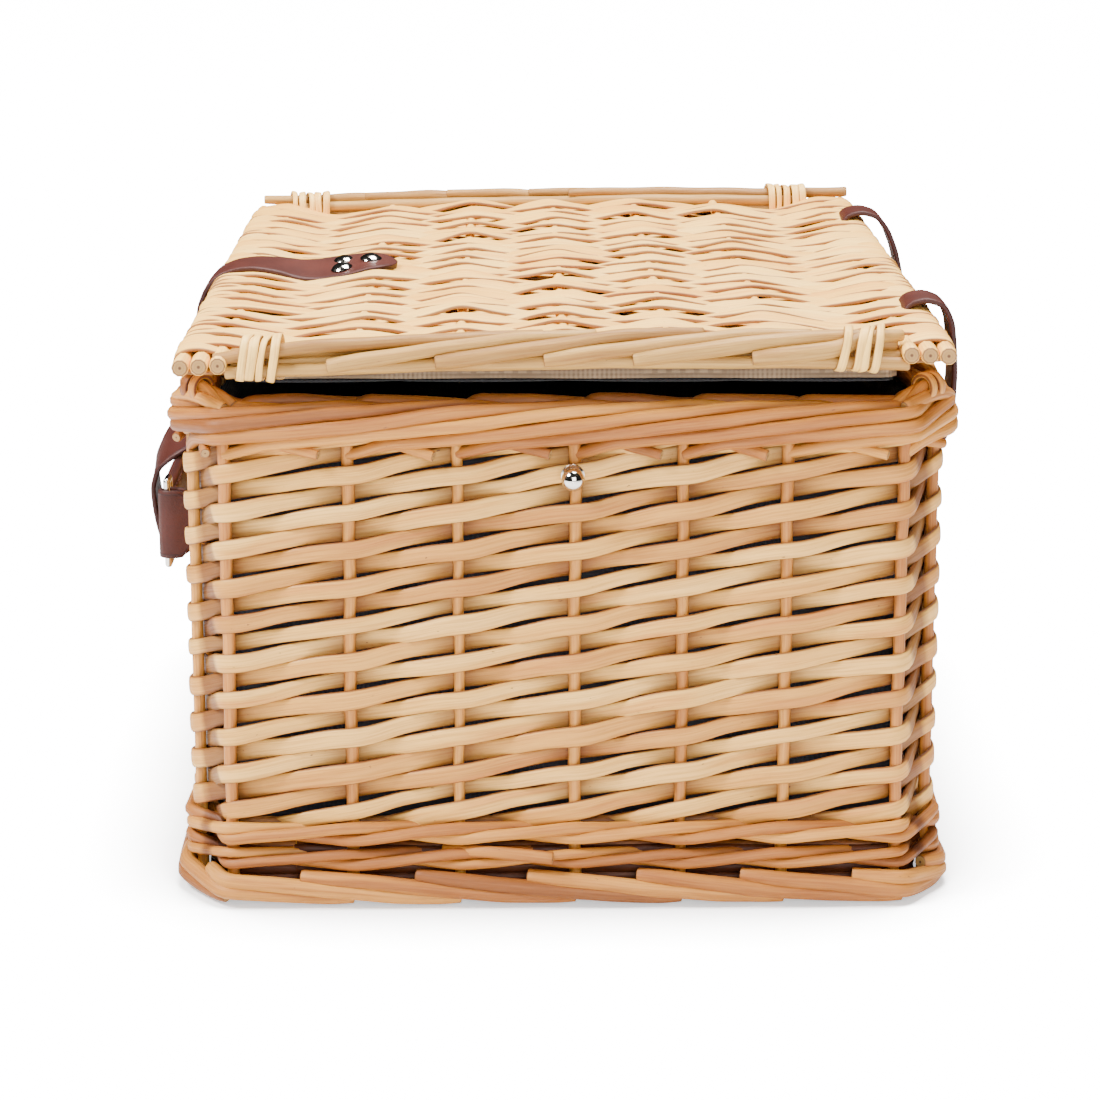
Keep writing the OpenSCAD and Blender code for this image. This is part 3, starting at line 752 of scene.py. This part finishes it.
def make_lid_weave():
    strands = Strands(101)
    pitch = 2 * (LID_END_IN - 1.2) / LID_STRIPS
    step = 1.7
    for i in range(LID_STRIPS):
        over = i % 2 == 0
        line = lid_strip_rows(over, strands.rng)
        rows = np.zeros((len(line), 8))
        rows[:, 0] = -LID_END_IN + 1.2 + (i + 0.5) * pitch
        rows[:, 1:3] = line
        rows[:, 6], rows[:, 7] = LID_STRIP_W, LID_STRIP_T
        rows = soften(resample(rows, step), 5, step)
        along = unit(np.gradient(rows[:, :3], axis=0))
        rows[:, 3:6] = np.stack([0 * along[:, 0], -along[:, 2], along[:, 1]], 1)
        at = np.arange(len(rows)) * step
        rows[:, 0] += strands.waver(at, 0.7)
        rows[:, 3] = strands.waver(at, 0.09)
        strands.sweep(rows, SKEIN, waver=0.0, spread=0.05)
    finish_piece(strands.make("lid_weave_strips", LID), "lid", "lid_willow", "lid_weave")


def end_rod(strands, side, keys):
    """A rod of the lid's end border, through keys of y, distance in from the end, z and d.

    z is measured from the lid's own mid plane at that place. The left end is the right one turned
    half round, so y is mirrored there: a key at -140 lies at +140.
    """
    fine = resample(np.array(keys, float), 3)
    rows = np.zeros((len(fine), 8))
    rows[:, 0] = side * (LID_X - fine[:, 1])
    rows[:, 1] = side * fine[:, 0]
    rows[:, 2] = fine[:, 2] + LID_MID + lid_rise(rows[:, 1])
    rows[:, 3] = side
    rows[:, 6] = rows[:, 7] = fine[:, 3]
    strands.sweep(soften(resample(rows, 2.2), 8, 2.2), ROD, waver=0.2, spread=0.05)


def make_lid_ends():
    """A border of slanting rods over straight ones. The left end's run on over the edge sticks."""
    for side, name in ((1, "right"), (-1, "left")):
        strands = Strands(113 + side)
        over = side < 0
        end_rod(strands, side, [(-122, 4.6, -3.4, 4.8), (0, 3.4, -3.6, 5.0), (124, 4.6, -4.0, 4.6)])
        end_rod(strands, side, [(-120, 8.6, -2.0, 5.2), (0, 9.0, -2.4, 5.4), (122, 8.6, -2.0, 5.2)])
        end_rod(strands, side, [(-140 if over else -126, 4.4, 6.4 if over else 1.6, 5.0),
                                (-96, 4.0, 4.4, 5.6), (-50, 6.5, 5.2, 5.2), (-8, 9.5, 5.6, 4.6)])
        end_rod(strands, side, [(-120, 9.6, 2.0, 5.0), (0, 9.8, 1.8, 5.0), (120, 9.6, 2.0, 5.0)])
        for y in (-85, -46, -7, 25, 68):
            end = min(y + 96, 137 if over and y > 40 else 122)
            end_rod(strands, side, [(y, 1.9, -2.2, 5.6), (y + 6, 1.7, -1.6, 6.2),
                                    (y + 34, 2.6, 1.6, 5.8), (y + (end - y) * 0.7, 5.2, 5.4, 5.2),
                                    (end, 9.6 - 4 * over, 5.4 + 1.2 * (end > 130), 4.2)])
        finish_piece(strands.make(f"lid_end_{name}_rods", LID_BORDER), "lid", "lid_willow",
                     f"lid_end_{name}")


def make_lashings():
    """Split skein wound four or five times round the end border and the outer stick group."""
    strands = Strands(127)
    low, high = box("lid_lashings")
    half_z = (high[2] - low[2]) / 2
    for side in (-1, 1):
        for turn_side in (-1, 1):
            middle = -117 if side < 0 and turn_side < 0 else turn_side * 109
            rise = float(lid_rise(middle))
            inner, outer = LID_END_IN - 1.5, high[0] - 0.2
            turns = (-7.0, -3.4, 0.2, 3.7, 7.2)[:4 if side > 0 else 5]
            for k, y in enumerate(turns):
                turn = np.radians(np.linspace(-100, 262, 44))
                cubes = np.abs(np.cos(turn)) ** 3 + np.abs(np.sin(turn)) ** 3
                square = 1 / np.maximum(cubes, 0.1) ** 0.33
                rows = np.zeros((44, 8))
                swell = 1 + 0.05 * np.sin(turn * 2 + k)
                rows[:, 0] = side * ((inner + outer) / 2 + (outer - inner) / 2 * np.cos(turn) * square)
                rows[:, 2] = LID_MID + rise + 1.0 + half_z * np.sin(turn) * square * swell
                rows[:, 1] = middle + y + 2.6 * np.sin(turn / 2) + strands.rng.normal(0, 0.4)
                rows[:, 3] = side * np.cos(turn)
                rows[:, 4] = 0.25 * np.sin(turn * 2 + k * 2.1)
                rows[:, 5] = np.sin(turn)
                rows[:, 6], rows[:, 7] = 3.3, 1.7
                strands.sweep(rows, STRIP, waver=0.5, spread=0.12, tone=0.1)
    finish_piece(strands.make("lid_lashing_skeins", LID), "lid", "lid_willow", "lid_lashings")


# ---------------------------------------------------------------------------
# Leather
# ---------------------------------------------------------------------------


def leather_slab(length, width_at, thick, holes=()):
    """A flat slab from u = 0 to length, and width_at(u) wide, with holes of (u, a, radius)."""
    across = np.array([-0.5, -0.492, -0.47, -0.43, -0.36, -0.24, -0.12, 0, 0.12, 0.24, 0.36, 0.43,
                       0.47, 0.492, 0.5])
    drop = np.array([0.3, 0.12, 0.03, 0, 0, 0, 0, 0, 0, 0, 0, 0, 0.03, 0.12, 0.3])
    section = [(a, 0.5 - d) for a, d in zip(across[::-1], drop)]
    section += [(a, -0.5 + d) for a, d in zip(across, drop)]
    ends = 0.5 - 0.5 * np.cos(np.linspace(0, math.pi, 12))
    middle = np.linspace(0, 1, max(8, int(length / 1.8)))
    u = np.unique(np.concatenate([ends[:7] * 12, length * middle[1:-1], length - ends[:7] * 12]))
    u = u[np.concatenate([[True], np.diff(u) > 0.15])]
    points, faces, m = [], [], len(section)
    for at in u:
        w = max(width_at(at), 0.8)
        points += [(at, a * w, b * thick) for a, b in section]
    for i in range(len(u) - 1):
        for j in range(m):
            k = (j + 1) % m
            faces.append([i * m + j, i * m + k, (i + 1) * m + k, (i + 1) * m + j])
    faces.append(list(range(m))[::-1])
    faces.append([(len(u) - 1) * m + j for j in range(m)])
    mesh = bpy.data.meshes.new("slab")
    mesh.from_pydata(points, [], faces)
    if holes:
        mesh = punched(mesh, holes, thick)
    return mesh


def punched(mesh, holes, thick):
    """The slab with round holes cut through it."""
    scene = bpy.context.scene.collection.objects
    slab = bpy.data.objects.new("slab", mesh)
    scene.link(slab)
    for u, a, radius in holes:
        bm = bmesh.new()
        bmesh.ops.create_cone(bm, cap_ends=True, segments=28, radius1=radius, radius2=radius,
                              depth=thick * 4)
        bmesh.ops.translate(bm, verts=bm.verts, vec=(u, a, 0))
        tool_mesh = bpy.data.meshes.new("punch")
        bm.to_mesh(tool_mesh)
        bm.free()
        tool = bpy.data.objects.new("punch", tool_mesh)
        scene.link(tool)
        cut = slab.modifiers.new("cut", "BOOLEAN")
        cut.object, cut.operation, cut.solver = tool, "DIFFERENCE", "EXACT"
        depsgraph = bpy.context.evaluated_depsgraph_get()
        result = bpy.data.meshes.new_from_object(slab.evaluated_get(depsgraph))
        slab.modifiers.clear()
        slab.data = result
        bpy.data.objects.remove(tool)
    mesh = slab.data
    bpy.data.objects.remove(slab)
    return mesh


def leather_strip(name, path, middle, width_at, thick, holes=(), lean=None, roll=None, level=False):
    """A strip of leather along a path in the Y-Z plane, with its middle at that x.

    Its outer face is on the path's left. A level one runs in the X-Y plane, at that z.
    lean shifts it sideways and roll turns it about its own path, in degrees.
    """
    line = np.array(path, float)
    rows = np.concatenate([np.zeros((len(line), 1)), line], 1)
    rows = soften(resample(rows, 1.0), 3, 1.0)
    length = run_length(rows)
    total = length[-1]
    mesh = leather_slab(total, width_at, thick, holes)
    flat = np.array([v.co for v in mesh.vertices], float)
    u, a, b = flat.T
    along = unit(np.gradient(rows, axis=0))
    normal = np.stack([0 * along[:, 0], -along[:, 2], along[:, 1]], 1)
    centre = np.stack([np.interp(u, length, c) for c in rows.T], 1)
    out = np.stack([np.interp(u, length, c) for c in normal.T], 1)
    turn = np.radians(roll(u / total)) if roll else 0 * u
    points = centre + unit(out) * (b * np.cos(turn) - a * np.sin(turn))[:, None]
    points[:, 0] = middle + a * np.cos(turn) + b * np.sin(turn) + (lean(u / total) if lean else 0)
    if level:
        points = points[:, [1, 2, 0]]
    edge = np.minimum((np.array([width_at(t) for t in u]) / 2 - np.abs(a)), 6.0)
    faces = [list(p.vertices) for p in mesh.polygons]
    bpy.data.meshes.remove(mesh)
    return new_object(name, points, faces, {"grain": np.stack([u, a, b], 1) + 40, "edge": edge}, LEATHER)


def rounded_width(width, length, start=None, end=None):
    """Width along a strip whose ends are rounded over the given lengths."""
    def at(u):
        w = width
        if start and u < start:
            w *= math.sqrt(max(0.0, 1 - (1 - u / start) ** 2))
        if end and u > length - end:
            w *= math.sqrt(max(0.0, 1 - (1 - (length - u) / end) ** 2))
        return w
    return at


def path_length(path):
    line = np.array(path, float)
    return float(np.linalg.norm(np.diff(line, axis=0), axis=1).sum())


LEATHER_T = 2.2


def make_closure():
    """One strap: riveted on the lid, up over its front edge, and down outside the handle."""
    top = LID_FACE + LEATHER_T / 2
    pivot_z = LID_FACE + 4.5
    path = [(-67, top - 2.2), (-72, top - 1.2), (-78, top - 1.0), (-90, top - 3.4), (-99, top - 4.8),
            (-107, top - 4.8), (-116, top - 2.8), (-126, top - 1.8), (-134, top - 2.6), (-141, top - 5.4),
            (-146, top - 11), (-149, pivot_z - 22), (-150, 184), (-150, 170), (-151, 158), (-153.5, 149),
            (-157.5, 141), (-164, 135), (-169.4, 128), (-171.2, 119), (-170.2, 110), (-169, 102.7),
            (-167.2, 96), (-165.4, 90), (-164.4, 87.5)]
    length = path_length(path)
    width = rounded_width(26, length, 11, 11)
    strap = leather_strip("closure_strap_leather", path, 0, width, LEATHER_T,
                          [(length - 15, 0, 2.1)], lambda t: 3.6 * np.cos(2.2 * t),
                          lambda t: -11 * np.exp(-((t - 0.14) / 0.11) ** 2)
                          - 27 * np.exp(-((t - 0.7) / 0.085) ** 2))
    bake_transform(strap)
    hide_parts("closure_strap_base", "closure_strap")


def turned(name, profile, places, material):
    """Round pieces turned from a profile of (radius, height), one at each (place, axis)."""
    points, faces, n = [], [], 28
    for place, axis in places:
        axis = unit(np.array(axis, float))
        one = unit(np.cross(axis, (0.3, 1, 0.2)))
        two = np.cross(axis, one)
        start = len(points)
        for radius, height in profile:
            for a in np.linspace(0, 2 * math.pi, n, endpoint=False):
                spot = one * math.cos(a) * radius + two * math.sin(a) * radius + axis * height
                points.append(np.array(place, float) + spot)
        for i in range(len(profile) - 1):
            for j in range(n):
                k = (j + 1) % n
                row, after = start + i * n, start + (i + 1) * n
                faces.append([row + j, row + k, after + k, after + j])
        faces.append([start + j for j in range(n)][::-1])
        faces.append([start + (len(profile) - 1) * n + j for j in range(n)])
    return new_object(name, points, faces, {}, material)


def make_rivets():
    """Low domes, each on a thin washer, through the strap and into the lid's weave."""
    profile = [(0.6, -5.2), (1.2, -5.0), (1.2, -0.1), (4.3, -0.1), (4.5, 0.1), (4.3, 0.35), (3.9, 0.75),
               (3.3, 1.2), (2.6, 1.6), (1.7, 1.9), (0.8, 2.05), (0.2, 2.08)]
    top = LID_FACE + LEATHER_T
    places = [((-3.5, -90, top - 2.7), (0.18, -0.2, 1)), ((8.5, -90, top - 3.9), (0.18, -0.2, 1)),
              ((2.5, -78, top - 0.9), (0.14, 0.02, 1))]
    finish_piece(turned("strap_rivet_domes", profile, places, NICKEL), "lid", "nickel", "strap_rivets")


def stitch_row(strands, places, along, out, length=3.0):
    """Short threads that dip into the leather at both ends."""
    for place in places:
        t = np.linspace(-0.5, 0.5, 7)
        rows = np.zeros((7, 8))
        rows[:, :3] = place + np.outer(t * length, along) - np.outer(2.2 * t * t - 0.25, out)
        rows[:, 3:6] = out
        rows[:, 6] = rows[:, 7] = 0.85
        strands.sweep(rows, ROD, waver=0.0, spread=0.03)


def make_handle():
    """A padded grip between two wire rings, stitched along both edges."""
    low, high = box("handle_strap")
    y, z, reach = (low[1] + high[1]) / 2, (low[2] + high[2]) / 2, high[0]
    eye = (high[1] - low[1]) / 2
    bar = reach - eye
    x = bar * np.sin(np.linspace(-1, 1, 121) * math.pi / 2)
    x = np.concatenate([-bar - eye * np.sin(np.linspace(1, 0.1, 8) * math.pi / 2), x,
                        bar + eye * np.sin(np.linspace(0.1, 1, 8) * math.pi / 2)])
    past = np.clip(np.abs(x) - bar, 0, eye)
    fold = np.clip((bar - np.abs(x)) / 7, 0, 1)
    swell = np.clip((bar - 8 - np.abs(x)) / 14, 0, 1)
    thick = np.where(past > 0, 2 * np.sqrt(np.maximum(eye * eye - past * past, 0.05)),
                     2 * eye - (2 * eye - 4.0) * fold * fold * (3 - 2 * fold))
    thick = thick + 2.6 * swell * swell * (3 - 2 * swell)
    height = (high[2] - low[2]) - 2.0 * np.exp(-((np.abs(x) - bar + 8) / 7) ** 2)
    bow = -1.2 * (1 - (x / reach) ** 2)
    a = np.sin(np.linspace(-1, 1, 27) * math.pi / 2) / 2
    crown = np.clip((0.5 - np.abs(a)) / 0.5, 0, 1)
    groove = np.exp(-((np.abs(a) - 0.405) / 0.018) ** 2)
    edge_round = np.sqrt(np.clip(1 - ((np.abs(a) - 0.42) / 0.08).clip(0, 1) ** 2, 0, 1))
    lift = (0.34 + 0.16 * np.sqrt(crown)) * edge_round - 0.05 * groove
    outline = np.concatenate([np.stack([a, lift], 1), np.stack([a, -lift], 1)[::-1][1:-1]])
    m, points, edges, grain = len(outline), [], [], []
    for i in range(len(x)):
        for across, b in outline:
            points.append((x[i], y + bow[i] - b * thick[i], z + across * height[i]))
            grain.append((x[i], across * height[i], b * thick[i]))
            edges.append(min((0.5 - abs(across)) * height[i], 6.0))
    faces = [[i * m + j, (i + 1) * m + j, (i + 1) * m + (j + 1) % m, i * m + (j + 1) % m]
             for i in range(len(x) - 1) for j in range(m)]
    faces += [list(range(m)), [(len(x) - 1) * m + j for j in range(m)][::-1]]
    grip = new_object("handle_grip", points, faces,
                      {"grain": np.array(grain) + 90, "edge": np.array(edges)}, LEATHER)
    finish_piece(grip, "handle", "leather", "handle_strap")
    strands = Strands(211)
    for row in (-1, 1):
        for face in (-1, 1):
            spots = []
            for at in np.arange(-bar + 10, bar - 9, 4.3):
                k = int(np.argmin(np.abs(x - at)))
                spots.append((at, y + bow[k] + face * (0.36 * thick[k] + 0.1),
                              z + row * 0.405 * height[k]))
            stitch_row(strands, np.array(spots), np.array([1.0, 0, 0]), np.array([0, face, 0.0]))
    thread = strands.make("handle_stitches", THREAD)
    finish_piece(thread, "handle", "leather")


def make_tabs():
    """Each tab folds round its ring's outer bar and runs through the weave to a plate inside."""
    for side, name in ((-1, "left"), (1, "right")):
        low, high = box(f"handle_tab_{name}")
        x, z = (low[0] + high[0]) / 2, (low[2] + high[2]) / 2
        ring = box(f"handle_ring_{name}")
        y = (ring[0][1] + ring[1][1]) / 2
        path = [(x - 1.1, -133.5), (x - 1.1, -144), (x - 1.9, -149), (x - 3.0, y + 2.5)]
        path += [(x - 3.1 * math.cos(t), y - 3.1 * math.sin(t))
                 for t in np.linspace(0.1, math.pi - 0.1, 9)]
        path += [(x + 3.0, y + 2.5), (x + 1.9, -149), (x + 1.1, -144), (x + 1.1, -133.5)]
        total = path_length(path)

        def width(u, total=total):
            t = min(u, total - u)
            grown = min(max((t - 12) / 8, 0), 1)
            return 10 + 18 * grown * grown * (3 - 2 * grown)

        tab = leather_strip(f"handle_tab_{name}_fold", path[::-1], z, width, 1.9, level=True)
        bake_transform(tab)
        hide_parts(f"handle_tab_{name}")
        plate = leather_strip(f"handle_plate_{name}", [(x - 8, -131.2), (x, -131.2), (x + 8, -131.2)], z,
                              rounded_width(20, 16, 3, 3), 1.8, level=True)
        finish_piece(plate, "basket", "leather", f"handle_anchor_{name}")


# ---------------------------------------------------------------------------
# Cloth
# ---------------------------------------------------------------------------


def grid(name, table, material, closed=False):
    """A single sheet of cloth from a table of points, in rows and columns."""
    rows, columns = table.shape[:2]
    last = columns if closed else columns - 1
    faces = [[i * columns + j, i * columns + (j + 1) % columns, (i + 1) * columns + (j + 1) % columns,
              (i + 1) * columns + j] for i in range(rows - 1) for j in range(last)]
    return new_object(name, table.reshape(-1, 3), faces, {}, material)


def loop_path(half_x, half_y, corner, step):
    """Points and outward directions round a rectangle with rounded corners."""
    points, normals = [], []
    for turn, (cx, cy) in enumerate(((1, -1), (1, 1), (-1, 1), (-1, -1))):
        for angle in np.radians(np.linspace(-90, 0, 7) + 90 * turn):
            out = np.array([math.cos(angle), math.sin(angle)])
            points.append(np.array([cx * (half_x - corner), cy * (half_y - corner)]) + out * corner)
            normals.append(out)
    points, normals = np.array(points), np.array(normals)
    rows = np.concatenate([points, np.zeros((len(points), 1)), normals], 1)
    rows = resample(np.concatenate([rows, rows[:1]]), step)[:-1]
    return rows[:, :2], unit(rows[:, 3:5])


def ripple(rng, a, b, size, waves):
    """A soft random surface over two lengths."""
    total = 0
    for _ in range(waves):
        along, up, phase = rng.uniform(0.01, 0.05), rng.uniform(0.008, 0.045), rng.random() * TURN
        total = total + np.sin(a * along * TURN / 2 + b * up * TURN / 2 + phase)
    return size * total / math.sqrt(waves)


def make_lining():
    """A navy cloth lining: one wall cloth with a folded hem, and a floor cloth."""
    rng = np.random.default_rng(307)
    low, high = box("lining_front")[0], box("lining_back")[1]
    half_x, half_y = box("lining_right")[1][0] - 0.6, high[1] - 0.6
    points, normals = loop_path(half_x, half_y, 4, 4.5)
    around_at = np.arange(len(points)) * 4.5
    heights = np.concatenate([np.linspace(low[2] + 0.6, high[2] - 2.2, 38),
                              high[2] - 1.1 + 1.1 * np.sin(np.linspace(-0.8, 1.57, 4)),
                              high[2] - 1.1 + 1.1 * np.sin(np.linspace(1.2, -0.8, 4)),
                              np.linspace(high[2] - 3, high[2] - 12, 4)])
    shifts = np.concatenate([np.zeros(38), 0.5 * (1 - np.cos(np.linspace(0, 1.57, 4))),
                             0.6 + 0.5 * np.sin(np.linspace(0, 1.57, 4)), np.full(4, 1.1)])
    table = np.zeros((len(heights), len(points), 3))
    whole = len(points) * 4.5
    for i, (z, shift) in enumerate(zip(heights, shifts)):
        fade = math.sin(math.pi * min(max((z - 20) / 166, 0), 1)) ** 0.5 if shift == 0 else 0
        wave = sum(np.sin(2 * math.pi * k * around_at / whole + 1.7 * k + z * 0.012 * (k % 5 - 2)) / 3
                   for k in (9, 14, 23, 31))
        inward = fade * (0.9 + 0.9 * wave)
        table[i, :, :2] = points + normals * (shift - inward)[:, None]
        table[i, :, 2] = z
    walls = grid("lining_wall_cloth", table, NAVY, closed=True)
    finish_piece(walls, "basket", "navy_fabric", "lining_front", "lining_back", "lining_left",
                 "lining_right")
    low, high = box("lining_floor")
    xs, ys = np.linspace(low[0] + 0.5, high[0] - 0.5, 74), np.linspace(low[1] + 0.5, high[1] - 0.5, 52)
    a, b = np.meshgrid(xs, ys)
    fade = np.clip((high[0] - np.abs(a)) / 12, 0, 1) * np.clip((high[1] - np.abs(b)) / 12, 0, 1)
    table = np.stack([a, b, low[2] + 0.6 + fade * (0.6 + ripple(rng, a, b, 0.5, 7))], -1)
    floor = grid("lining_floor_cloth", table, NAVY)
    finish_piece(floor, "basket", "navy_fabric", "lining_floor")


def make_lid_lining():
    """A thin padded panel under the lid, with a band of check cloth round its edge."""
    rng = np.random.default_rng(311)
    low, high = box("lid_lining")
    half_x, half_y, thick = high[0] - 1.2, high[1] - 1.2, high[2] - low[2]
    sides = np.concatenate([-1 + 0.04 * np.sin(np.linspace(0, 1.57, 7)), np.linspace(-0.955, 0.955, 66),
                            1 - 0.04 * np.sin(np.linspace(1.57, 0, 7))])
    a, b = np.meshgrid(sides * half_x, sides * half_y)
    near = np.minimum(half_x - np.abs(a), half_y - np.abs(b))
    swell = np.sqrt(np.clip(1 - (1 - np.clip(near / 7, 0, 1)) ** 2, 0, 1))
    middle = (low[2] + high[2]) / 2
    quilt = 0.5 * np.abs(np.sin(math.pi * a / 76) * np.sin(math.pi * b / 62)) ** 0.5
    top = middle + swell * thick / 2 * 0.9
    under = middle - swell * (thick / 2 * 0.55 + quilt * 1.4) + ripple(rng, a, b, 0.12, 6) * swell
    n = len(sides)
    points = np.concatenate([np.stack([a, b, top], -1).reshape(-1, 3),
                             np.stack([a, b, under], -1).reshape(-1, 3)])
    faces = []
    for i in range(n - 1):
        for j in range(n - 1):
            quad = [i * n + j, i * n + j + 1, (i + 1) * n + j + 1, (i + 1) * n + j]
            faces += [quad, [n * n + v for v in quad[::-1]]]
    rim = [j for j in range(n)] + [i * n + n - 1 for i in range(1, n)]
    rim += [(n - 1) * n + j for j in range(n - 2, -1, -1)] + [i * n for i in range(n - 2, 0, -1)]
    faces += [[rim[k], n * n + rim[k], n * n + rim[(k + 1) % len(rim)], rim[(k + 1) % len(rim)]]
              for k in range(len(rim))]
    panel = new_object("lid_lining_panel", points, faces, {}, NAVY)
    finish_piece(panel, "lid", "navy_fabric", "lid_lining")
    low, high = box("lid_lining_band")
    points, normals = loop_path(high[0] + 0.2, high[1] + 0.2, 6, 4)
    at = np.arange(len(points)) * 4.0
    table = np.zeros((11, len(points), 3))
    for i, t in enumerate(np.linspace(0, 1, 11)):
        # The strip is 10 mm wide: 7 mm stands, and the last 3 mm is turned in under the weave
        stands, turned_in = min(t / 0.7, 1), max(t - 0.7, 0) * 10
        out = 0.5 * np.sin(at / 9.5 + 0.6 * np.sin(at / 41)) * (1 - stands) - turned_in
        table[i, :, :2] = points + normals * out[:, None]
        table[i, :, 2] = low[2] - 0.6 + 7 * stands + (0.5 + lid_rise(points[:, 1])) * stands * 0.4
    band = grid("lid_band_cloth", table, CHECK, closed=True)
    finish_piece(band, "lid", "check_fabric", "lid_lining_band")


def make_base():
    """The woven bottom: thick sticks lengthways and thin rods woven across them."""
    low, high = box("base_weave")
    stick_low, stick_high = box("base_sticks")
    middle = (low[2] + high[2]) / 2
    strands = Strands(331)
    ys = np.linspace(stick_low[1] + 3, stick_high[1] - 3, 9)
    for y in ys:
        rows = np.zeros((60, 8))
        rows[:, 0] = np.linspace(stick_low[0], stick_high[0], 60)
        rows[:, 1], rows[:, 2], rows[:, 5] = y, middle, 1
        rows[:, 6] = rows[:, 7] = 4.6
        strands.sweep(rows, ROD, waver=0.2)
    sticks = strands.make("base_stick_rods", STAKE)
    finish_piece(sticks, "basket", "willow", "base_sticks")
    strands = Strands(337)
    count = 78
    for i in range(count):
        x = low[0] + (i + 0.5) * (high[0] - low[0]) / count
        keys = [(x, low[1] + 1, middle)]
        keys += [(x, y, middle + 2.2 * (1 if (i + k) % 2 else -1)) for k, y in enumerate(ys)]
        keys += [(x, high[1] - 1, middle)]
        rows = np.zeros((len(keys), 8))
        rows[:, :3], rows[:, 5] = keys, 1
        rows[:, 6], rows[:, 7] = 4.4, 3.2
        strands.sweep(soften(resample(rows, 3), 9, 3), ROD, waver=0.15)
    finish_piece(strands.make("base_woven", BORDER), "basket", "willow", "base_weave")


def make_hinges():
    face = LID_FACE
    for side, name in ((-1, "left"), (1, "right")):
        y = LID_Y
        path = [(y - 12, face - 8), (y - 13.2, face - 2), (y - 11, face + 3.0), (y - 4, face + 4.6)]
        if side < 0:
            path += [(y + 3, face + 2.6), (y + 8, face - 4), (y + 11.5, face - 13), (y + 14, face - 24),
                     (y + 13.2, face - 34), (y + 9.5, face - 43)]
        else:
            path += [(y + 2.5, face + 2.4), (y + 5.6, face - 4), (y + 6.6, face - 13), (y + 7.2, face - 24),
                     (y + 6.8, face - 34), (y + 5.6, face - 43)]
        path += [(y + 3.5, face - 50), (y - 4, face - 54)]
        width = rounded_width(22, path_length(path))
        loop = leather_strip(f"hinge_loop_{name}", path[::-1], side * 120, width, LEATHER_T)
        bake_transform(loop)
        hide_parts(f"hinge_lid_end_{name}", f"hinge_wall_end_{name}")


for maker in (make_stakes, make_siding, make_wale, make_borders, make_knots, make_base, make_lid_sticks,
              make_lid_weave, make_lid_ends, make_lashings, make_closure, make_rivets, make_hinges,
              make_handle, make_tabs, make_lining, make_lid_lining):
    maker()

# ---------------------------------------------------------------------------
# CAD nodes that stay
# ---------------------------------------------------------------------------

for name in ("end_stud_left", "end_stud_right", "front_stud", "stud_washers", "stud_nuts",
             "handle_ring_left", "handle_ring_right"):
    mesh = frame["nodes"][name].data
    mesh.materials.clear()
    mesh.materials.append(NICKEL)

# ---------------------------------------------------------------------------
# Stage, light and camera
# ---------------------------------------------------------------------------


def make_stage():
    """A plain floor that glows white to camera rays, with a soft shadow close to the basket, mostly painted
    by ambient occlusion dimming that glow and partly cast by the lamps.
    """
    bpy.ops.mesh.primitive_plane_add(size=40)
    floor = bpy.context.object
    floor.name = "floor"
    s = Shader("floor", roughness=0.9)
    s.finish((0.9, 0.9, 0.9, 1))
    lit = s.node("LightPath").outputs["Is Camera Ray"]
    s.main.inputs["Emission Color"].default_value = (1, 1, 1, 1)
    # Painted shadow: ambient occlusion dims the camera-only glow close to the basket
    near = s.node("AmbientOcclusion", {"Distance": 0.09}, samples=16).outputs["AO"]
    open_part = s.fit(near, 0.45, 1.0, 0.05, 1.0)
    strength = s.math("MULTIPLY", s.math("MULTIPLY", lit, open_part), 16.0)
    s.put(strength, s.main.inputs["Emission Strength"])
    floor.data.materials.append(s.material)


def make_lights():
    world = bpy.data.worlds.new("studio")
    world.use_nodes = True
    nodes, links = world.node_tree.nodes, world.node_tree.links
    background = nodes["Background"]
    path = nodes.new("ShaderNodeLightPath")
    strength = nodes.new("ShaderNodeMapRange")
    strength.inputs["To Min"].default_value, strength.inputs["To Max"].default_value = 0.34, 30.0
    links.new(path.outputs["Is Camera Ray"], strength.inputs["Value"])
    links.new(strength.outputs["Result"], background.inputs["Strength"])
    bpy.context.scene.world = world
    target = (0, 0, 0.1)
    for name, place, size, watts in (("key", (0.7, -1.3, 1.7), 0.6, 112),
                                     ("front", (2.1, 0.3, 0.9), 1.2, 42),
                                     ("top", (-0.2, 0.3, 2.0), 1.0, 125)):
        data = bpy.data.lights.new(name, "AREA")
        data.size, data.energy = size, watts
        light = bpy.data.objects.new(name, data)
        light.location = place
        light.rotation_mode = "QUATERNION"
        light.rotation_quaternion = (Vector(target) - Vector(place)).to_track_quat("-Z", "Y")
        bpy.context.scene.collection.objects.link(light)


def make_camera():
    """The photograph's own view: low, from the right end, with a long lens."""
    pitch, yaw = math.radians(13.84), math.radians(0.593)
    data = bpy.data.cameras.new("camera")
    data.sensor_width, data.lens = 36, 106.46
    data.clip_start, data.clip_end = 0.05, 60
    camera = bpy.data.objects.new("camera", data)
    camera.location = (1.3513, -0.0172, 0.4215)
    look = Vector((-math.cos(pitch) * math.cos(yaw), math.cos(pitch) * math.sin(yaw), -math.sin(pitch)))
    camera.rotation_mode = "QUATERNION"
    camera.rotation_quaternion = look.to_track_quat("-Z", "Y")
    bpy.context.scene.collection.objects.link(camera)
    bpy.context.scene.camera = camera


make_stage()
make_lights()
make_camera()
